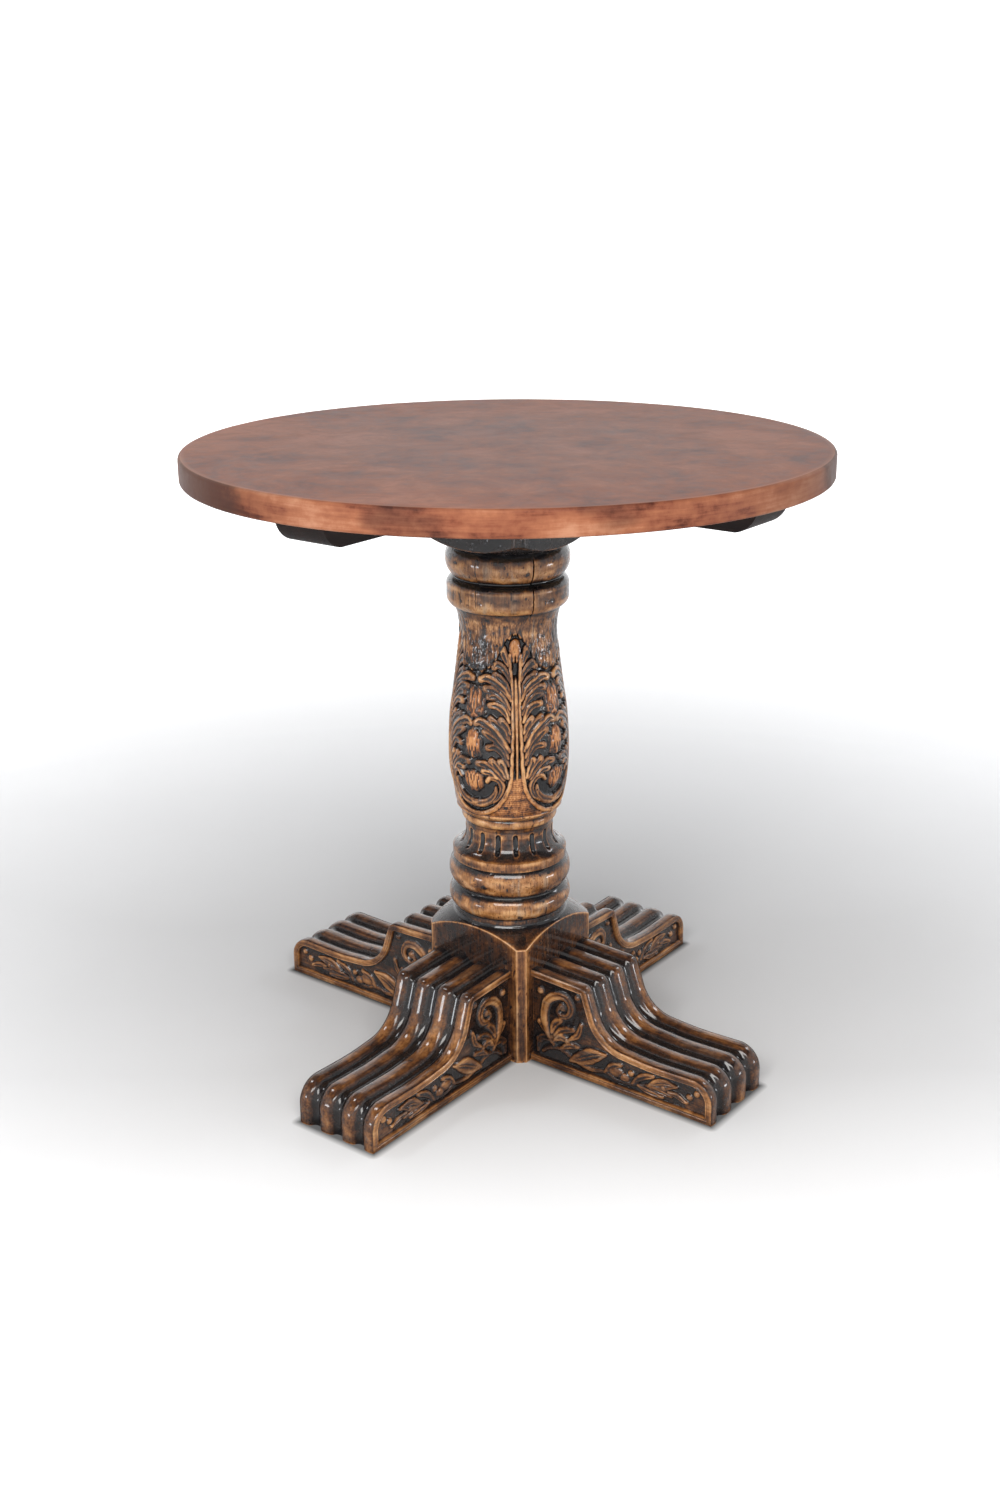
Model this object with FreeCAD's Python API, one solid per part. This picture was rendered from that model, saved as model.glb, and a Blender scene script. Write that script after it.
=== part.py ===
"""Round pedestal table: a copper-clad top on crossed bearers, a turned oak post and four reeded feet.

Millimetres. The origin is on the floor under the post's axis, +Z is up. The feet and the bearers
lie along the X and Y axes, and the table's front is the corner between +X and -Y.
"""
import FreeCAD, Part
import math
import os

V = FreeCAD.Vector
UP = V(0, 0, 1)

# ---- driving dimensions -------------------------------------------------------------------------
TABLE_HEIGHT = 762.0
TOP_RADIUS = 381.0
TOP_THICKNESS = 30.0

SHEET = 1.0                      # copper sheet thickness
HEM_WIDTH = 16.0                 # copper folded under the rim
TOP_ARRIS = 4.0                  # rounding of the rim's upper edge
LOWER_ARRIS = 3.0                # rounding of the rim's lower edge
CORE_BEVEL = 2.0                 # planed off both edges of the core, under the copper
TACK_COUNT = 32
TACK_HEAD_RADIUS = 3.2
TACK_HEAD_HEIGHT = 1.2
TACK_SHANK_RADIUS = 0.8
TACK_LENGTH = 12.0

BOARD_COUNT = 5
TONGUE_THICKNESS = 9.0
TONGUE_DEPTH = 8.0

BEARER_WIDTH = 68.0
BEARER_THICKNESS = 30.0
BEARER_REACH = 352.0             # axis to the bearer's end at its upper face
BEARER_FOOT = 327.0              # axis to where the underside starts to sweep up
BEARER_NOSE = 9.0                # height of the square end above the sweep

WOOD_SCREW_PLACES = (130.0, 270.0)
WOOD_SCREW_LENGTH = 44.0
WOOD_SCREW_RADIUS = 2.5
WOOD_SCREW_HEAD_RADIUS = 4.8
WOOD_SCREW_HEAD_DEPTH = 3.2
WOOD_SCREW_SINK = 8.0            # counterbore below each head
WOOD_SCREW_SINK_RADIUS = 5.6

COACH_PLACE = 54.0
COACH_RADIUS = 4.0
COACH_LENGTH = 72.0
COACH_HEAD_ACROSS = 13.0
COACH_HEAD_HEIGHT = 5.5
COACH_SINK_DEPTH = 9.0
COACH_SINK_RADIUS = 13.0
WASHER_RADIUS = 12.0
WASHER_THICKNESS = 2.0

BLOCK_WIDTH = 152.0              # square blocks at both ends of the post
BLOCK_CHAMFER = 8.6
BASE_BLOCK_TOP = 172.0
TOP_BLOCK_BOTTOM = 644.0
SLOT_COUNT = 16
SLOT_WIDTH = 6.5
SLOT_LOW, SLOT_HIGH = 262.5, 288.5
SLOT_FLOOR_LOW, SLOT_FLOOR_HIGH = 55.0, 50.5

LEG_WIDTH = 116.0
LEG_REACH = 337.0
SHELF_HEIGHT = 126.0
KNEE_REACH = 156.5
KNEE_HEIGHT = 123.0
INSTEP_REACH = 179.5
INSTEP_HEIGHT = 57.0
ARCH_REACH = 250.0
ARCH_HEIGHT = 51.5
TOE_HEIGHT = 54.0
KNEE_BEND, INSTEP_BEND, ARCH_BEND, TOE_BEND = 12.0, 48.0, 300.0, 28.0
FLUTE_RADIUS = 7.5
FLUTE_PLACES = (-34.0, 0.0, 34.0)
REED_ARRIS = 3.0
PANEL_DEPTH = 4.5
PANEL_BORDER = 10.0

DOWEL_RADIUS = 7.0
DOWEL_LENGTH = 70.0
DOWEL_CHAMFER = 1.5
DOWEL_SIDE = 30.0
DOWEL_HEIGHTS = (34.0, 88.0)

# ---- levels that follow from them ---------------------------------------------------------------
TOP_UNDERSIDE = TABLE_HEIGHT - TOP_THICKNESS
CORE_BOTTOM = TOP_UNDERSIDE + SHEET
CORE_TOP = TABLE_HEIGHT - SHEET
CORE_RADIUS = TOP_RADIUS - SHEET
BEARER_BOTTOM = CORE_BOTTOM - BEARER_THICKNESS
BEARER_MIDDLE = CORE_BOTTOM - BEARER_THICKNESS / 2
COACH_SEAT = CORE_BOTTOM - COACH_SINK_DEPTH
BLOCK_HALF = BLOCK_WIDTH / 2
TURNING_LIMIT = 110.0            # wider than the block's corners
LEG_SIDES = {"leg_front_right": 0.0, "leg_back_right": 90.0,
             "leg_back_left": 180.0, "leg_front_left": 270.0}


# ---- drawing helpers ----------------------------------------------------------------------------
def outline(start, steps):
    """Closed face in the XZ plane. A step is (x, z) for a line or (x, z, x, z) for an arc."""
    edges = []
    here = V(start[0], 0, start[1])
    for step in steps:
        if len(step) == 2:
            end = V(step[0], 0, step[1])
            edges.append(Part.LineSegment(here, end).toShape())
        else:
            through = V(step[0], 0, step[1])
            end = V(step[2], 0, step[3])
            edges.append(Part.Arc(here, through, end).toShape())
        here = end
    first = V(start[0], 0, start[1])
    if here.distanceToPoint(first) > 1e-6:
        edges.append(Part.LineSegment(here, first).toShape())
    return Part.Face(Part.Wire(edges))


def turned(face):
    """Solid turned about the Z axis."""
    return face.revolve(V(0, 0, 0), UP, 360)


def rod(radius, low, high, x=0.0, y=0.0):
    return Part.makeCylinder(radius, high - low, V(x, y, low))


def block(x0, x1, y0, y1, z0, z1):
    return Part.makeBox(x1 - x0, y1 - y0, z1 - z0, V(x0, y0, z0))


def spun(shape, degrees):
    """Copy of a shape, turned about the table's axis."""
    copy = shape.copy()
    copy.rotate(V(0, 0, 0), UP, degrees)
    return copy


def joined(shapes):
    """One shape of several, with flush faces merged."""
    return shapes[0].multiFuse(shapes[1:]).removeSplitter()


def save(name, shape):
    solids = shape.Solids
    shape = solids[0] if len(solids) == 1 else Part.makeCompound(solids)
    if not shape.isValid():
        raise RuntimeError(name + " is not valid")
    shape.exportStep("parts/" + name + ".step")
    print(name, len(solids), "solid(s),", round(shape.Volume / 1000.0, 1), "cm3")


# ---- copper skin and its tacks ------------------------------------------------------------------
def rounded_disc():
    """The whole top, with the rim's two edges rounded."""
    low, high = TOP_UNDERSIDE, TABLE_HEIGHT
    low_mid = LOWER_ARRIS * (1 - math.sqrt(0.5))
    high_mid = TOP_ARRIS * (1 - math.sqrt(0.5))
    return turned(outline((0, low), [
        (TOP_RADIUS - LOWER_ARRIS, low),
        (TOP_RADIUS - low_mid, low + low_mid, TOP_RADIUS, low + LOWER_ARRIS),
        (TOP_RADIUS, high - TOP_ARRIS),
        (TOP_RADIUS - high_mid, high - high_mid, TOP_RADIUS - TOP_ARRIS, high),
        (0, high)]))


def core_disc():
    """The core, one sheet thickness inside the whole top, with bevelled edges."""
    return turned(outline((0, CORE_BOTTOM), [
        (CORE_RADIUS - CORE_BEVEL, CORE_BOTTOM),
        (CORE_RADIUS, CORE_BOTTOM + CORE_BEVEL),
        (CORE_RADIUS, CORE_TOP - CORE_BEVEL),
        (CORE_RADIUS - CORE_BEVEL, CORE_TOP),
        (0, CORE_TOP)]))


def one_tack():
    """Domed tack driven up through the hem, with its head just under the hem."""
    tip = TOP_UNDERSIDE + TACK_LENGTH
    taper = 2.5
    head_low = TOP_UNDERSIDE - TACK_HEAD_HEIGHT
    face = outline((0, head_low), [
        (TACK_HEAD_RADIUS * 0.75, head_low + TACK_HEAD_HEIGHT * 0.3, TACK_HEAD_RADIUS, TOP_UNDERSIDE),
        (TACK_SHANK_RADIUS, TOP_UNDERSIDE),
        (TACK_SHANK_RADIUS, tip - taper),
        (0, tip)])
    tack = turned(face)
    tack.translate(V(TOP_RADIUS - HEM_WIDTH / 2 - 1.0, 0, 0))
    return tack


def sheet_tacks():
    first = spun(one_tack(), 180.0 / TACK_COUNT)
    return [spun(first, 360.0 * i / TACK_COUNT) for i in range(TACK_COUNT)]


def copper_sheet(tacks):
    """Disc, rim and hem of one folded sheet, open below inside the hem."""
    window = rod(TOP_RADIUS - HEM_WIDTH, TOP_UNDERSIDE - 1, CORE_BOTTOM + 1)
    return rounded_disc().cut([core_disc(), window]).cut(tacks)


# ---- tongued and grooved core -------------------------------------------------------------------
def core_boards(holes):
    disc = core_disc()
    width = 2 * CORE_RADIUS / BOARD_COUNT
    middle = (CORE_BOTTOM + CORE_TOP) / 2
    tongue_low = middle - TONGUE_THICKNESS / 2
    boards = []
    for i in range(BOARD_COUNT):
        left = -CORE_RADIUS + i * width
        right = left + width
        outer_left = left if i > 0 else -TOP_RADIUS
        outer_right = right if i < BOARD_COUNT - 1 else TOP_RADIUS
        strip = block(outer_left, outer_right, -TOP_RADIUS, TOP_RADIUS, CORE_BOTTOM, CORE_TOP)
        if i < BOARD_COUNT - 1:
            tongue = block(right - 1, right + TONGUE_DEPTH, -TOP_RADIUS, TOP_RADIUS,
                           tongue_low, tongue_low + TONGUE_THICKNESS)
            strip = joined([strip, tongue])
        if i > 0:
            groove = block(left - 1, left + TONGUE_DEPTH, -TOP_RADIUS, TOP_RADIUS,
                           tongue_low, tongue_low + TONGUE_THICKNESS)
            strip = strip.cut(groove)
        boards.append(disc.common(strip).cut(holes))
    return boards


# ---- crossed bearers and their fasteners --------------------------------------------------------
def bearer_blank():
    """Bearer along X, its underside swept up towards both ends."""
    sweep_top = CORE_BOTTOM - BEARER_NOSE
    bulge_x = BEARER_FOOT + 0.62 * (BEARER_REACH - BEARER_FOOT)
    bulge_z = BEARER_BOTTOM + 0.34 * (sweep_top - BEARER_BOTTOM)
    face = outline((-BEARER_FOOT, BEARER_BOTTOM), [
        (BEARER_FOOT, BEARER_BOTTOM),
        (bulge_x, bulge_z, BEARER_REACH, sweep_top),
        (BEARER_REACH, CORE_BOTTOM),
        (-BEARER_REACH, CORE_BOTTOM),
        (-BEARER_REACH, sweep_top),
        (-bulge_x, bulge_z, -BEARER_FOOT, BEARER_BOTTOM)])
    bearer = face.extrude(V(0, BEARER_WIDTH, 0))
    bearer.translate(V(0, -BEARER_WIDTH / 2, 0))
    return bearer


def wood_screw(x):
    """Slotted countersunk screw, driven up from the bearer into the core."""
    seat = BEARER_BOTTOM + WOOD_SCREW_SINK
    tip = seat + WOOD_SCREW_LENGTH
    taper = 7.0
    face = outline((0, seat), [
        (WOOD_SCREW_HEAD_RADIUS, seat),
        (WOOD_SCREW_RADIUS, seat + WOOD_SCREW_HEAD_DEPTH),
        (WOOD_SCREW_RADIUS, tip - taper),
        (0, tip)])
    screw = turned(face)
    hole = screw.fuse(rod(WOOD_SCREW_SINK_RADIUS, BEARER_BOTTOM - 1, seat))
    slot_half = 0.7
    slot = block(-WOOD_SCREW_HEAD_RADIUS, WOOD_SCREW_HEAD_RADIUS, -slot_half, slot_half,
                 seat - 1, seat + 1.4)
    screw = screw.cut(slot)
    for shape in (screw, hole):
        shape.translate(V(x, 0, 0))
    return screw, hole


def coach_screw(x):
    """Hexagon-headed coach screw, its washer, and the hole they need."""
    seat = COACH_SEAT + WASHER_THICKNESS
    tip = seat - COACH_LENGTH
    taper = 9.0
    shank = turned(outline((0, tip), [
        (COACH_RADIUS, tip + taper), (COACH_RADIUS, seat), (0, seat)]))
    corner = COACH_HEAD_ACROSS / math.sqrt(3)
    points = [V(corner * math.cos(math.radians(60 * i)), corner * math.sin(math.radians(60 * i)), seat)
              for i in range(7)]
    head = Part.Face(Part.makePolygon(points)).extrude(V(0, 0, COACH_HEAD_HEIGHT))
    screw = joined([shank, head])
    washer = rod(WASHER_RADIUS, COACH_SEAT, seat).cut(rod(COACH_RADIUS, COACH_SEAT - 1, seat + 1))
    hole = shank.fuse(rod(COACH_SINK_RADIUS, COACH_SEAT, CORE_BOTTOM + 1))
    for shape in (screw, washer, hole):
        shape.translate(V(x, 0, 0))
    return screw, washer, hole


def around(shape):
    """The four copies of a shape on the four arms of the cross."""
    return [spun(shape, 90.0 * i) for i in range(4)]


# ---- turned post --------------------------------------------------------------------------------
def vase_curve():
    """Side of the carved vase, from the bead ring at its foot up to the collar under the bands."""
    points = [(60.0, 309.0), (66.8, 317.0), (70.2, 334.0), (74.7, 376.0), (73.0, 430.0),
              (67.4, 472.0), (61.2, 522.0), (59.6, 545.0), (61.4, 560.0), (65.0, 570.0)]
    curve = Part.BSplineCurve()
    curve.interpolate([V(r, 0, z) for r, z in points])
    return curve.toShape(), points[0], points[-1]


def post_profile():
    """Half outline of the turning, with the square blocks still at full radius."""
    vase, vase_low, vase_high = vase_curve()
    lower = [
        (TURNING_LIMIT, 0), (TURNING_LIMIT, 147.5),
        (92.0, 161.5, 72.0, 171.0),                    # shoulder of the base block
        (70.0, 174.0), (70.0, 181.5),
        (76.5, 195.5, 69.0, 209.5),                    # lower torus
        (69.0, 212.0),
        (76.4, 228.5, 70.0, 245.0),                    # upper torus
        (71.5, 246.0), (71.5, 257.0), (69.5, 258.0),   # fillet ring
        (59.6, 265.5, 54.8, 284.0),                    # slotted hollow
        (54.8, 291.0), (56.5, 296.5),
        (59.6, 302.5, 57.5, 308.5),                    # bead ring
        vase_low]
    upper = [
        (72.0, 575.5, 74.2, 583.5), (74.2, 595.5),     # rounded band
        (72.2, 603.0, 67.0, 607.0),
        (67.0, 608.5),
        (75.4, 627.0, 70.5, 644.5),                    # upper torus
        (72.0, 645.5),
        (90.0, 653.5, TURNING_LIMIT, 666.0),           # shoulder of the top block
        (TURNING_LIMIT, BEARER_BOTTOM), (0, BEARER_BOTTOM)]
    edges = []
    here = (0.0, 0.0)
    for step in lower:
        edges.append(profile_edge(here, step))
        here = step[-2:]
    edges.append(vase)
    here = vase_high
    for step in upper:
        edges.append(profile_edge(here, step))
        here = step[-2:]
    edges.append(profile_edge(here, (0.0, 0.0)))
    return Part.Face(Part.Wire(edges))


def profile_edge(here, step):
    start = V(here[0], 0, here[1])
    end = V(step[-2], 0, step[-1])
    if len(step) == 2:
        return Part.LineSegment(start, end).toShape()
    return Part.Arc(start, V(step[0], 0, step[1]), end).toShape()


def square_block(low, high):
    """Square timber with its four upright corners planed off."""
    timber = block(-BLOCK_HALF, BLOCK_HALF, -BLOCK_HALF, BLOCK_HALF, low, high)
    upright = [e for e in timber.Edges if abs(e.tangentAt(e.FirstParameter).z) > 0.99]
    return timber.makeChamfer(BLOCK_CHAMFER, upright)


def hollow_slot():
    """Upright slot with round ends, its floor parallel to the hollow's flare."""
    half = SLOT_WIDTH / 2
    low, high = SLOT_LOW + half, SLOT_HIGH - half
    edges = [Part.LineSegment(V(0, -half, low), V(0, -half, high)).toShape(),
             Part.Arc(V(0, -half, high), V(0, 0, high + half), V(0, half, high)).toShape(),
             Part.LineSegment(V(0, half, high), V(0, half, low)).toShape(),
             Part.Arc(V(0, half, low), V(0, 0, low - half), V(0, -half, low)).toShape()]
    slot = Part.Face(Part.Wire(edges)).extrude(V(30, 0, 0))
    lean = math.degrees(math.atan((SLOT_FLOOR_LOW - SLOT_FLOOR_HIGH) / (SLOT_HIGH - SLOT_LOW)))
    slot.translate(V(SLOT_FLOOR_HIGH, 0, 0))
    slot.rotate(V(SLOT_FLOOR_HIGH, 0, SLOT_HIGH), V(0, 1, 0), lean)
    return slot


def pedestal_post(holes):
    turning = turned(post_profile())
    stages = [square_block(0, BASE_BLOCK_TOP),
              rod(TURNING_LIMIT, BASE_BLOCK_TOP, TOP_BLOCK_BOTTOM),
              square_block(TOP_BLOCK_BOTTOM, BEARER_BOTTOM)]
    post = turning.common(stages[0].multiFuse(stages[1:]))
    slot = hollow_slot()
    slots = [spun(slot, 360.0 * i / SLOT_COUNT) for i in range(SLOT_COUNT)]
    return post.cut(slots).cut(holes)


# ---- feet ---------------------------------------------------------------------------------------
def crest_line():
    """Corners of a foot's upper line and the bend at each, from the post to the floor."""
    return [(BLOCK_HALF, SHELF_HEIGHT, 0), (KNEE_REACH, KNEE_HEIGHT, KNEE_BEND),
            (INSTEP_REACH, INSTEP_HEIGHT, INSTEP_BEND), (ARCH_REACH, ARCH_HEIGHT, ARCH_BEND),
            (LEG_REACH, TOE_HEIGHT, TOE_BEND), (LEG_REACH, 0, 0)]


def moved_in(corners, distance):
    """The same line, a distance further into the wood, with its bends opened or closed to suit."""
    result = []
    last = len(corners) - 1
    for i, (x, z, bend) in enumerate(corners):
        before = corners[max(i, 1) - 1]
        after = corners[min(i, last - 1) + 1]
        ax, az = unit(before, (x, z)) if i > 0 else unit((x, z), after)
        bx, bz = unit((x, z), after) if i < last else (ax, az)
        cross = ax * bz - az * bx
        scale = distance / (1 + ax * bx + az * bz)
        moved_bend = bend + distance if cross > 0 else max(bend - distance, 2.0)
        result.append((x + scale * (az + bz), z - scale * (ax + bx), moved_bend if bend else 0))
    return result


def unit(start, end):
    length = math.hypot(end[0] - start[0], end[1] - start[1])
    return (end[0] - start[0]) / length, (end[1] - start[1]) / length


def bent_edges(corners):
    """Straight runs joined by tangent arcs, in the XZ plane."""
    edges = []
    here = V(corners[0][0], 0, corners[0][1])
    for i in range(1, len(corners)):
        x, z, bend = corners[i]
        corner = V(x, 0, z)
        if bend == 0:
            edges.append(Part.LineSegment(here, corner).toShape())
            here = corner
            continue
        come = (corner - V(corners[i - 1][0], 0, corners[i - 1][1])).normalize()
        go = (V(corners[i + 1][0], 0, corners[i + 1][1]) - corner).normalize()
        turn = come.getAngle(go)
        reach = bend * math.tan(turn / 2)
        start = corner - come * reach
        end = corner + go * reach
        inward = (go - come).normalize()
        middle = corner + inward * (bend / math.cos(turn / 2) - bend)
        edges.append(Part.LineSegment(here, start).toShape())
        edges.append(Part.Arc(start, middle, end).toShape())
        here = end
    return edges


def flute(side):
    """Round-bottomed groove along the crest, from inside the post to below the floor."""
    run_out = 10.0
    shelf_fall = (SHELF_HEIGHT - KNEE_HEIGHT) / (KNEE_REACH - BLOCK_HALF)
    corners = crest_line()
    corners[0] = (BLOCK_HALF - run_out, SHELF_HEIGHT + run_out * shelf_fall, 0)
    corners[-1] = (LEG_REACH, -run_out, 0)
    path = Part.Wire(bent_edges(corners))
    start = path.Edges[0]
    begin = start.valueAt(start.FirstParameter)
    along = start.tangentAt(start.FirstParameter)
    ring = Part.Wire(Part.Circle(begin, along, FLUTE_RADIUS).toShape())
    tube = path.makePipeShell([ring], True, False)
    tube.translate(V(0, side, 0))
    return tube


def side_panel():
    """Sunk panel of a foot's side, inside a border along the crest, toe and floor edges."""
    corners = moved_in(crest_line(), PANEL_BORDER)
    corners[-1] = (corners[-1][0], PANEL_BORDER - 1, 0)
    edges = bent_edges(corners)
    start, end = V(corners[0][0], 0, corners[0][1]), V(corners[-1][0], 0, corners[-1][1])
    inner = V(BLOCK_HALF - 5, 0, end.z)
    edges.append(Part.LineSegment(end, inner).toShape())
    edges.append(Part.LineSegment(inner, V(inner.x, 0, start.z)).toShape())
    edges.append(Part.LineSegment(V(inner.x, 0, start.z), start).toShape())
    return Part.Face(Part.Wire(edges))


def foot(holes):
    """One sprawling foot along +X, with four reeds on top and sunk side panels."""
    corners = crest_line()
    edges = bent_edges(corners)
    heel = V(BLOCK_HALF, 0, 0)
    edges.append(Part.LineSegment(V(LEG_REACH, 0, 0), heel).toShape())
    edges.append(Part.LineSegment(heel, V(BLOCK_HALF, 0, SHELF_HEIGHT)).toShape())
    body = Part.Face(Part.Wire(edges)).extrude(V(0, LEG_WIDTH, 0))
    body.translate(V(0, -LEG_WIDTH / 2, 0))
    body = body.cut([flute(side) for side in FLUTE_PLACES])
    panel = side_panel()
    near = panel.extrude(V(0, PANEL_DEPTH + 1, 0))
    near.translate(V(0, -LEG_WIDTH / 2 - 1, 0))
    far = panel.extrude(V(0, -PANEL_DEPTH - 1, 0))
    far.translate(V(0, LEG_WIDTH / 2 + 1, 0))
    body = body.cut([near, far])
    body = body.makeFillet(REED_ARRIS, reed_edges(body))
    return body.cut(holes)


def reed_edges(body):
    """Edges along the crest, between the reeds' tops and the grooves or sides."""
    picked = []
    crest = Part.Wire(bent_edges(crest_line()))
    for edge in body.Edges:
        middle = edge.valueAt((edge.FirstParameter + edge.LastParameter) / 2)
        ends = [v.Point for v in edge.Vertexes]
        if len(ends) < 2 or (ends[0] - ends[1]).Length < 1e-3:
            continue
        if abs(ends[0].y - ends[1].y) > 1e-3:
            continue
        flat = [V(p.x, 0, p.z) for p in (middle, ends[0], ends[1])]
        if all(crest.distToShape(Part.Vertex(p))[0] < 1e-3 for p in flat):
            picked.append(edge)
    return picked


def dowels():
    """Four dowels along +X, half in the post's base block and half in a foot."""
    half = DOWEL_LENGTH / 2
    pin = Part.makeCylinder(DOWEL_RADIUS, DOWEL_LENGTH, V(BLOCK_HALF - half, 0, 0), V(1, 0, 0))
    pin = pin.makeChamfer(DOWEL_CHAMFER, [e for e in pin.Edges if e.Closed])
    group = []
    for side in (-DOWEL_SIDE, DOWEL_SIDE):
        for height in DOWEL_HEIGHTS:
            copy = pin.copy()
            copy.translate(V(0, side, height))
            group.append(copy)
    return group


# ---- the table ----------------------------------------------------------------------------------
def main():
    os.makedirs("parts", exist_ok=True)

    tacks = sheet_tacks()
    save("sheet_tacks", Part.makeCompound(tacks))
    save("copper_sheet", copper_sheet(tacks))

    wood_screws, wood_holes = [], []
    for place in WOOD_SCREW_PLACES:
        screw, hole = wood_screw(place)
        wood_screws += around(screw)
        wood_holes += around(hole)
    screw, washer, hole = coach_screw(COACH_PLACE)
    coach_holes = around(hole)
    save("bearer_screws", Part.makeCompound(wood_screws))
    save("coach_screws", Part.makeCompound(around(screw)))
    save("coach_washers", Part.makeCompound(around(washer)))

    for number, board in enumerate(core_boards(tacks + wood_holes), 1):
        save("core_board_%d" % number, board)

    half = BEARER_WIDTH / 2
    lower = bearer_blank().cut(block(-half, half, -half, half, BEARER_MIDDLE, CORE_BOTTOM + 1))
    upper = spun(bearer_blank(), 90)
    upper = upper.cut(block(-half, half, -half, half, BEARER_BOTTOM - 1, BEARER_MIDDLE))
    save("bearer_lower", lower.cut(wood_holes + coach_holes))
    save("bearer_upper", upper.cut(wood_holes + coach_holes))

    pins = dowels()
    leg = foot(pins)
    sockets = []
    for name, turn in LEG_SIDES.items():
        group = [spun(pin, turn) for pin in pins]
        sockets += group
        save(name, spun(leg, turn))
        save(name.replace("leg", "dowels"), Part.makeCompound(group))
    save("pedestal_post", pedestal_post(sockets + coach_holes))


main()
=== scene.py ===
import math

import bpy
import numpy as np
from mathutils import Matrix, Vector


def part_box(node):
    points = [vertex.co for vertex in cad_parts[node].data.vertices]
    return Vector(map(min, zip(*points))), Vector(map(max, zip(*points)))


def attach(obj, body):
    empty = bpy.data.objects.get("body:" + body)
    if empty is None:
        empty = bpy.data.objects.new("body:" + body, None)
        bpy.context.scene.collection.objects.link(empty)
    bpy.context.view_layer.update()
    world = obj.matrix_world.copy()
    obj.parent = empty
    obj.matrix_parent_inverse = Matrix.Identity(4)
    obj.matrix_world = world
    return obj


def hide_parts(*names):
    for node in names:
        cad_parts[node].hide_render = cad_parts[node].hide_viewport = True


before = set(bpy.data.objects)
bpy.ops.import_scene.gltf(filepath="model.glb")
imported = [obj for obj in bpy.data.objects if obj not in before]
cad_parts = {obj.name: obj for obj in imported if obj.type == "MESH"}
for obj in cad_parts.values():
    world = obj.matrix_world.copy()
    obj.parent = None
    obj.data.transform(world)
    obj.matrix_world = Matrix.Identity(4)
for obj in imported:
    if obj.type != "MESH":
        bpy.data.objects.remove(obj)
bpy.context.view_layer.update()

MM = 0.001
FULL_TURN = 2 * math.pi

# ---- sizes read from the frame ----
_, post_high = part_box("pedestal_post")
foot_low, foot_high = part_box("leg_front_right")
sheet_low, sheet_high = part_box("copper_sheet")
POST_TOP = post_high.z / MM
BLOCK_HALF = foot_low.x / MM               # a foot starts at the base block's face
FOOT_REACH = foot_high.x / MM
FOOT_HALF_WIDTH = foot_high.y / MM
SHELF_HEIGHT = foot_high.z / MM
TABLE_HEIGHT = sheet_high.z / MM
TOP_UNDERSIDE = sheet_low.z / MM
TOP_RADIUS = 381.0

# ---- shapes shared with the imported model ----
BLOCK_CHAMFER = 8.6
TURNING_LIMIT = 110.0
BASE_BLOCK_TOP = 172.0
TOP_BLOCK_BOTTOM = 644.0
SLOT_COUNT = 16
SLOT_HALF_WIDTH = 3.25
SLOT_LOW, SLOT_HIGH = 262.5, 288.5
SLOT_FLOOR_LOW, SLOT_FLOOR_HIGH = 55.0, 50.5

# Half outline of the post: (radius, height) for a line, four numbers for an arc through a point.
LOWER_TURNING = [
    (TURNING_LIMIT, 147.5),
    (92.0, 161.5, 72.0, 171.0),
    (70.0, 174.0), (70.0, 181.5),
    (76.5, 195.5, 69.0, 209.5),
    (69.0, 212.0),
    (76.4, 228.5, 70.0, 245.0),
    (71.5, 246.0), (71.5, 257.0), (69.5, 258.0),
    (59.6, 265.5, 54.8, 284.0),
    (54.8, 291.0), (56.5, 296.5),
    (59.6, 302.5, 57.5, 308.5)]
VASE = [(60, 309), (66.8, 317), (70.2, 334), (74.7, 376), (73, 430),
        (67.4, 472), (61.2, 522), (59.6, 545), (61.4, 560), (65, 570)]
UPPER_TURNING = [
    (72.0, 575.5, 74.2, 583.5), (74.2, 595.5),
    (72.2, 603.0, 67.0, 607.0),
    (67.0, 608.5),
    (75.4, 627.0, 70.5, 644.5),
    (72.0, 645.5),
    (90.0, 653.5, TURNING_LIMIT, 666.0),
    (TURNING_LIMIT, POST_TOP)]

# Upper line of a foot: corners (reach, height, bend).
CREST = [(BLOCK_HALF, SHELF_HEIGHT, 0), (156.5, 123.0, 12.0), (179.5, 57.0, 48.0),
         (250.0, 51.5, 300.0), (FOOT_REACH, 54.0, 28.0), (FOOT_REACH, 0, 0)]
FLUTES = (-34.0, 0.0, 34.0)
FLUTE_DEPTH = 7.3
FLUTE_HALF_WIDTH = 8.6
ARRIS = 3.0
PANEL_GROUND = 4.3
REEDS = ((-50.5, 8.0), (-17.0, 8.6), (17.0, 8.6), (50.5, 8.0))     # middle and half width
GRAIN_UNIT = 100.0                 # mm to one unit of the wood grain


# ---- numbers and noise ----
def smooth_step(low, high, value):
    t = np.clip((value - low) / (high - low), 0, 1)
    return t * t * (3 - 2 * t)


def plateau(value, foot, shoulder, far_shoulder, far_foot):
    """1 between the shoulders, falling smoothly to 0 at the feet."""
    return smooth_step(foot, shoulder, value) * smooth_step(far_foot, far_shoulder, value)


def from_nearest(value, step):
    """Signed distance to the nearest whole number of steps."""
    return (value + step / 2) % step - step / 2


def noise(x, y, seed, wrap=0):
    """Smooth value noise from -1 to 1 over unit cells. wrap is the number of cells round a closed x."""
    table = np.random.default_rng(seed).uniform(-1, 1, 8192)
    x0, y0 = np.floor(x).astype(np.int64), np.floor(y).astype(np.int64)
    fx, fy = x - x0, y - y0
    fx, fy = fx * fx * (3 - 2 * fx), fy * fy * (3 - 2 * fy)

    def corner(ix, iy):
        if wrap:
            ix = ix % wrap
        return table[(ix * 7919 + iy * 104729) % 8192]

    low = corner(x0, y0) * (1 - fx) + corner(x0 + 1, y0) * fx
    high = corner(x0, y0 + 1) * (1 - fx) + corner(x0 + 1, y0 + 1) * fx
    return low * (1 - fy) + high * fy


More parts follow.
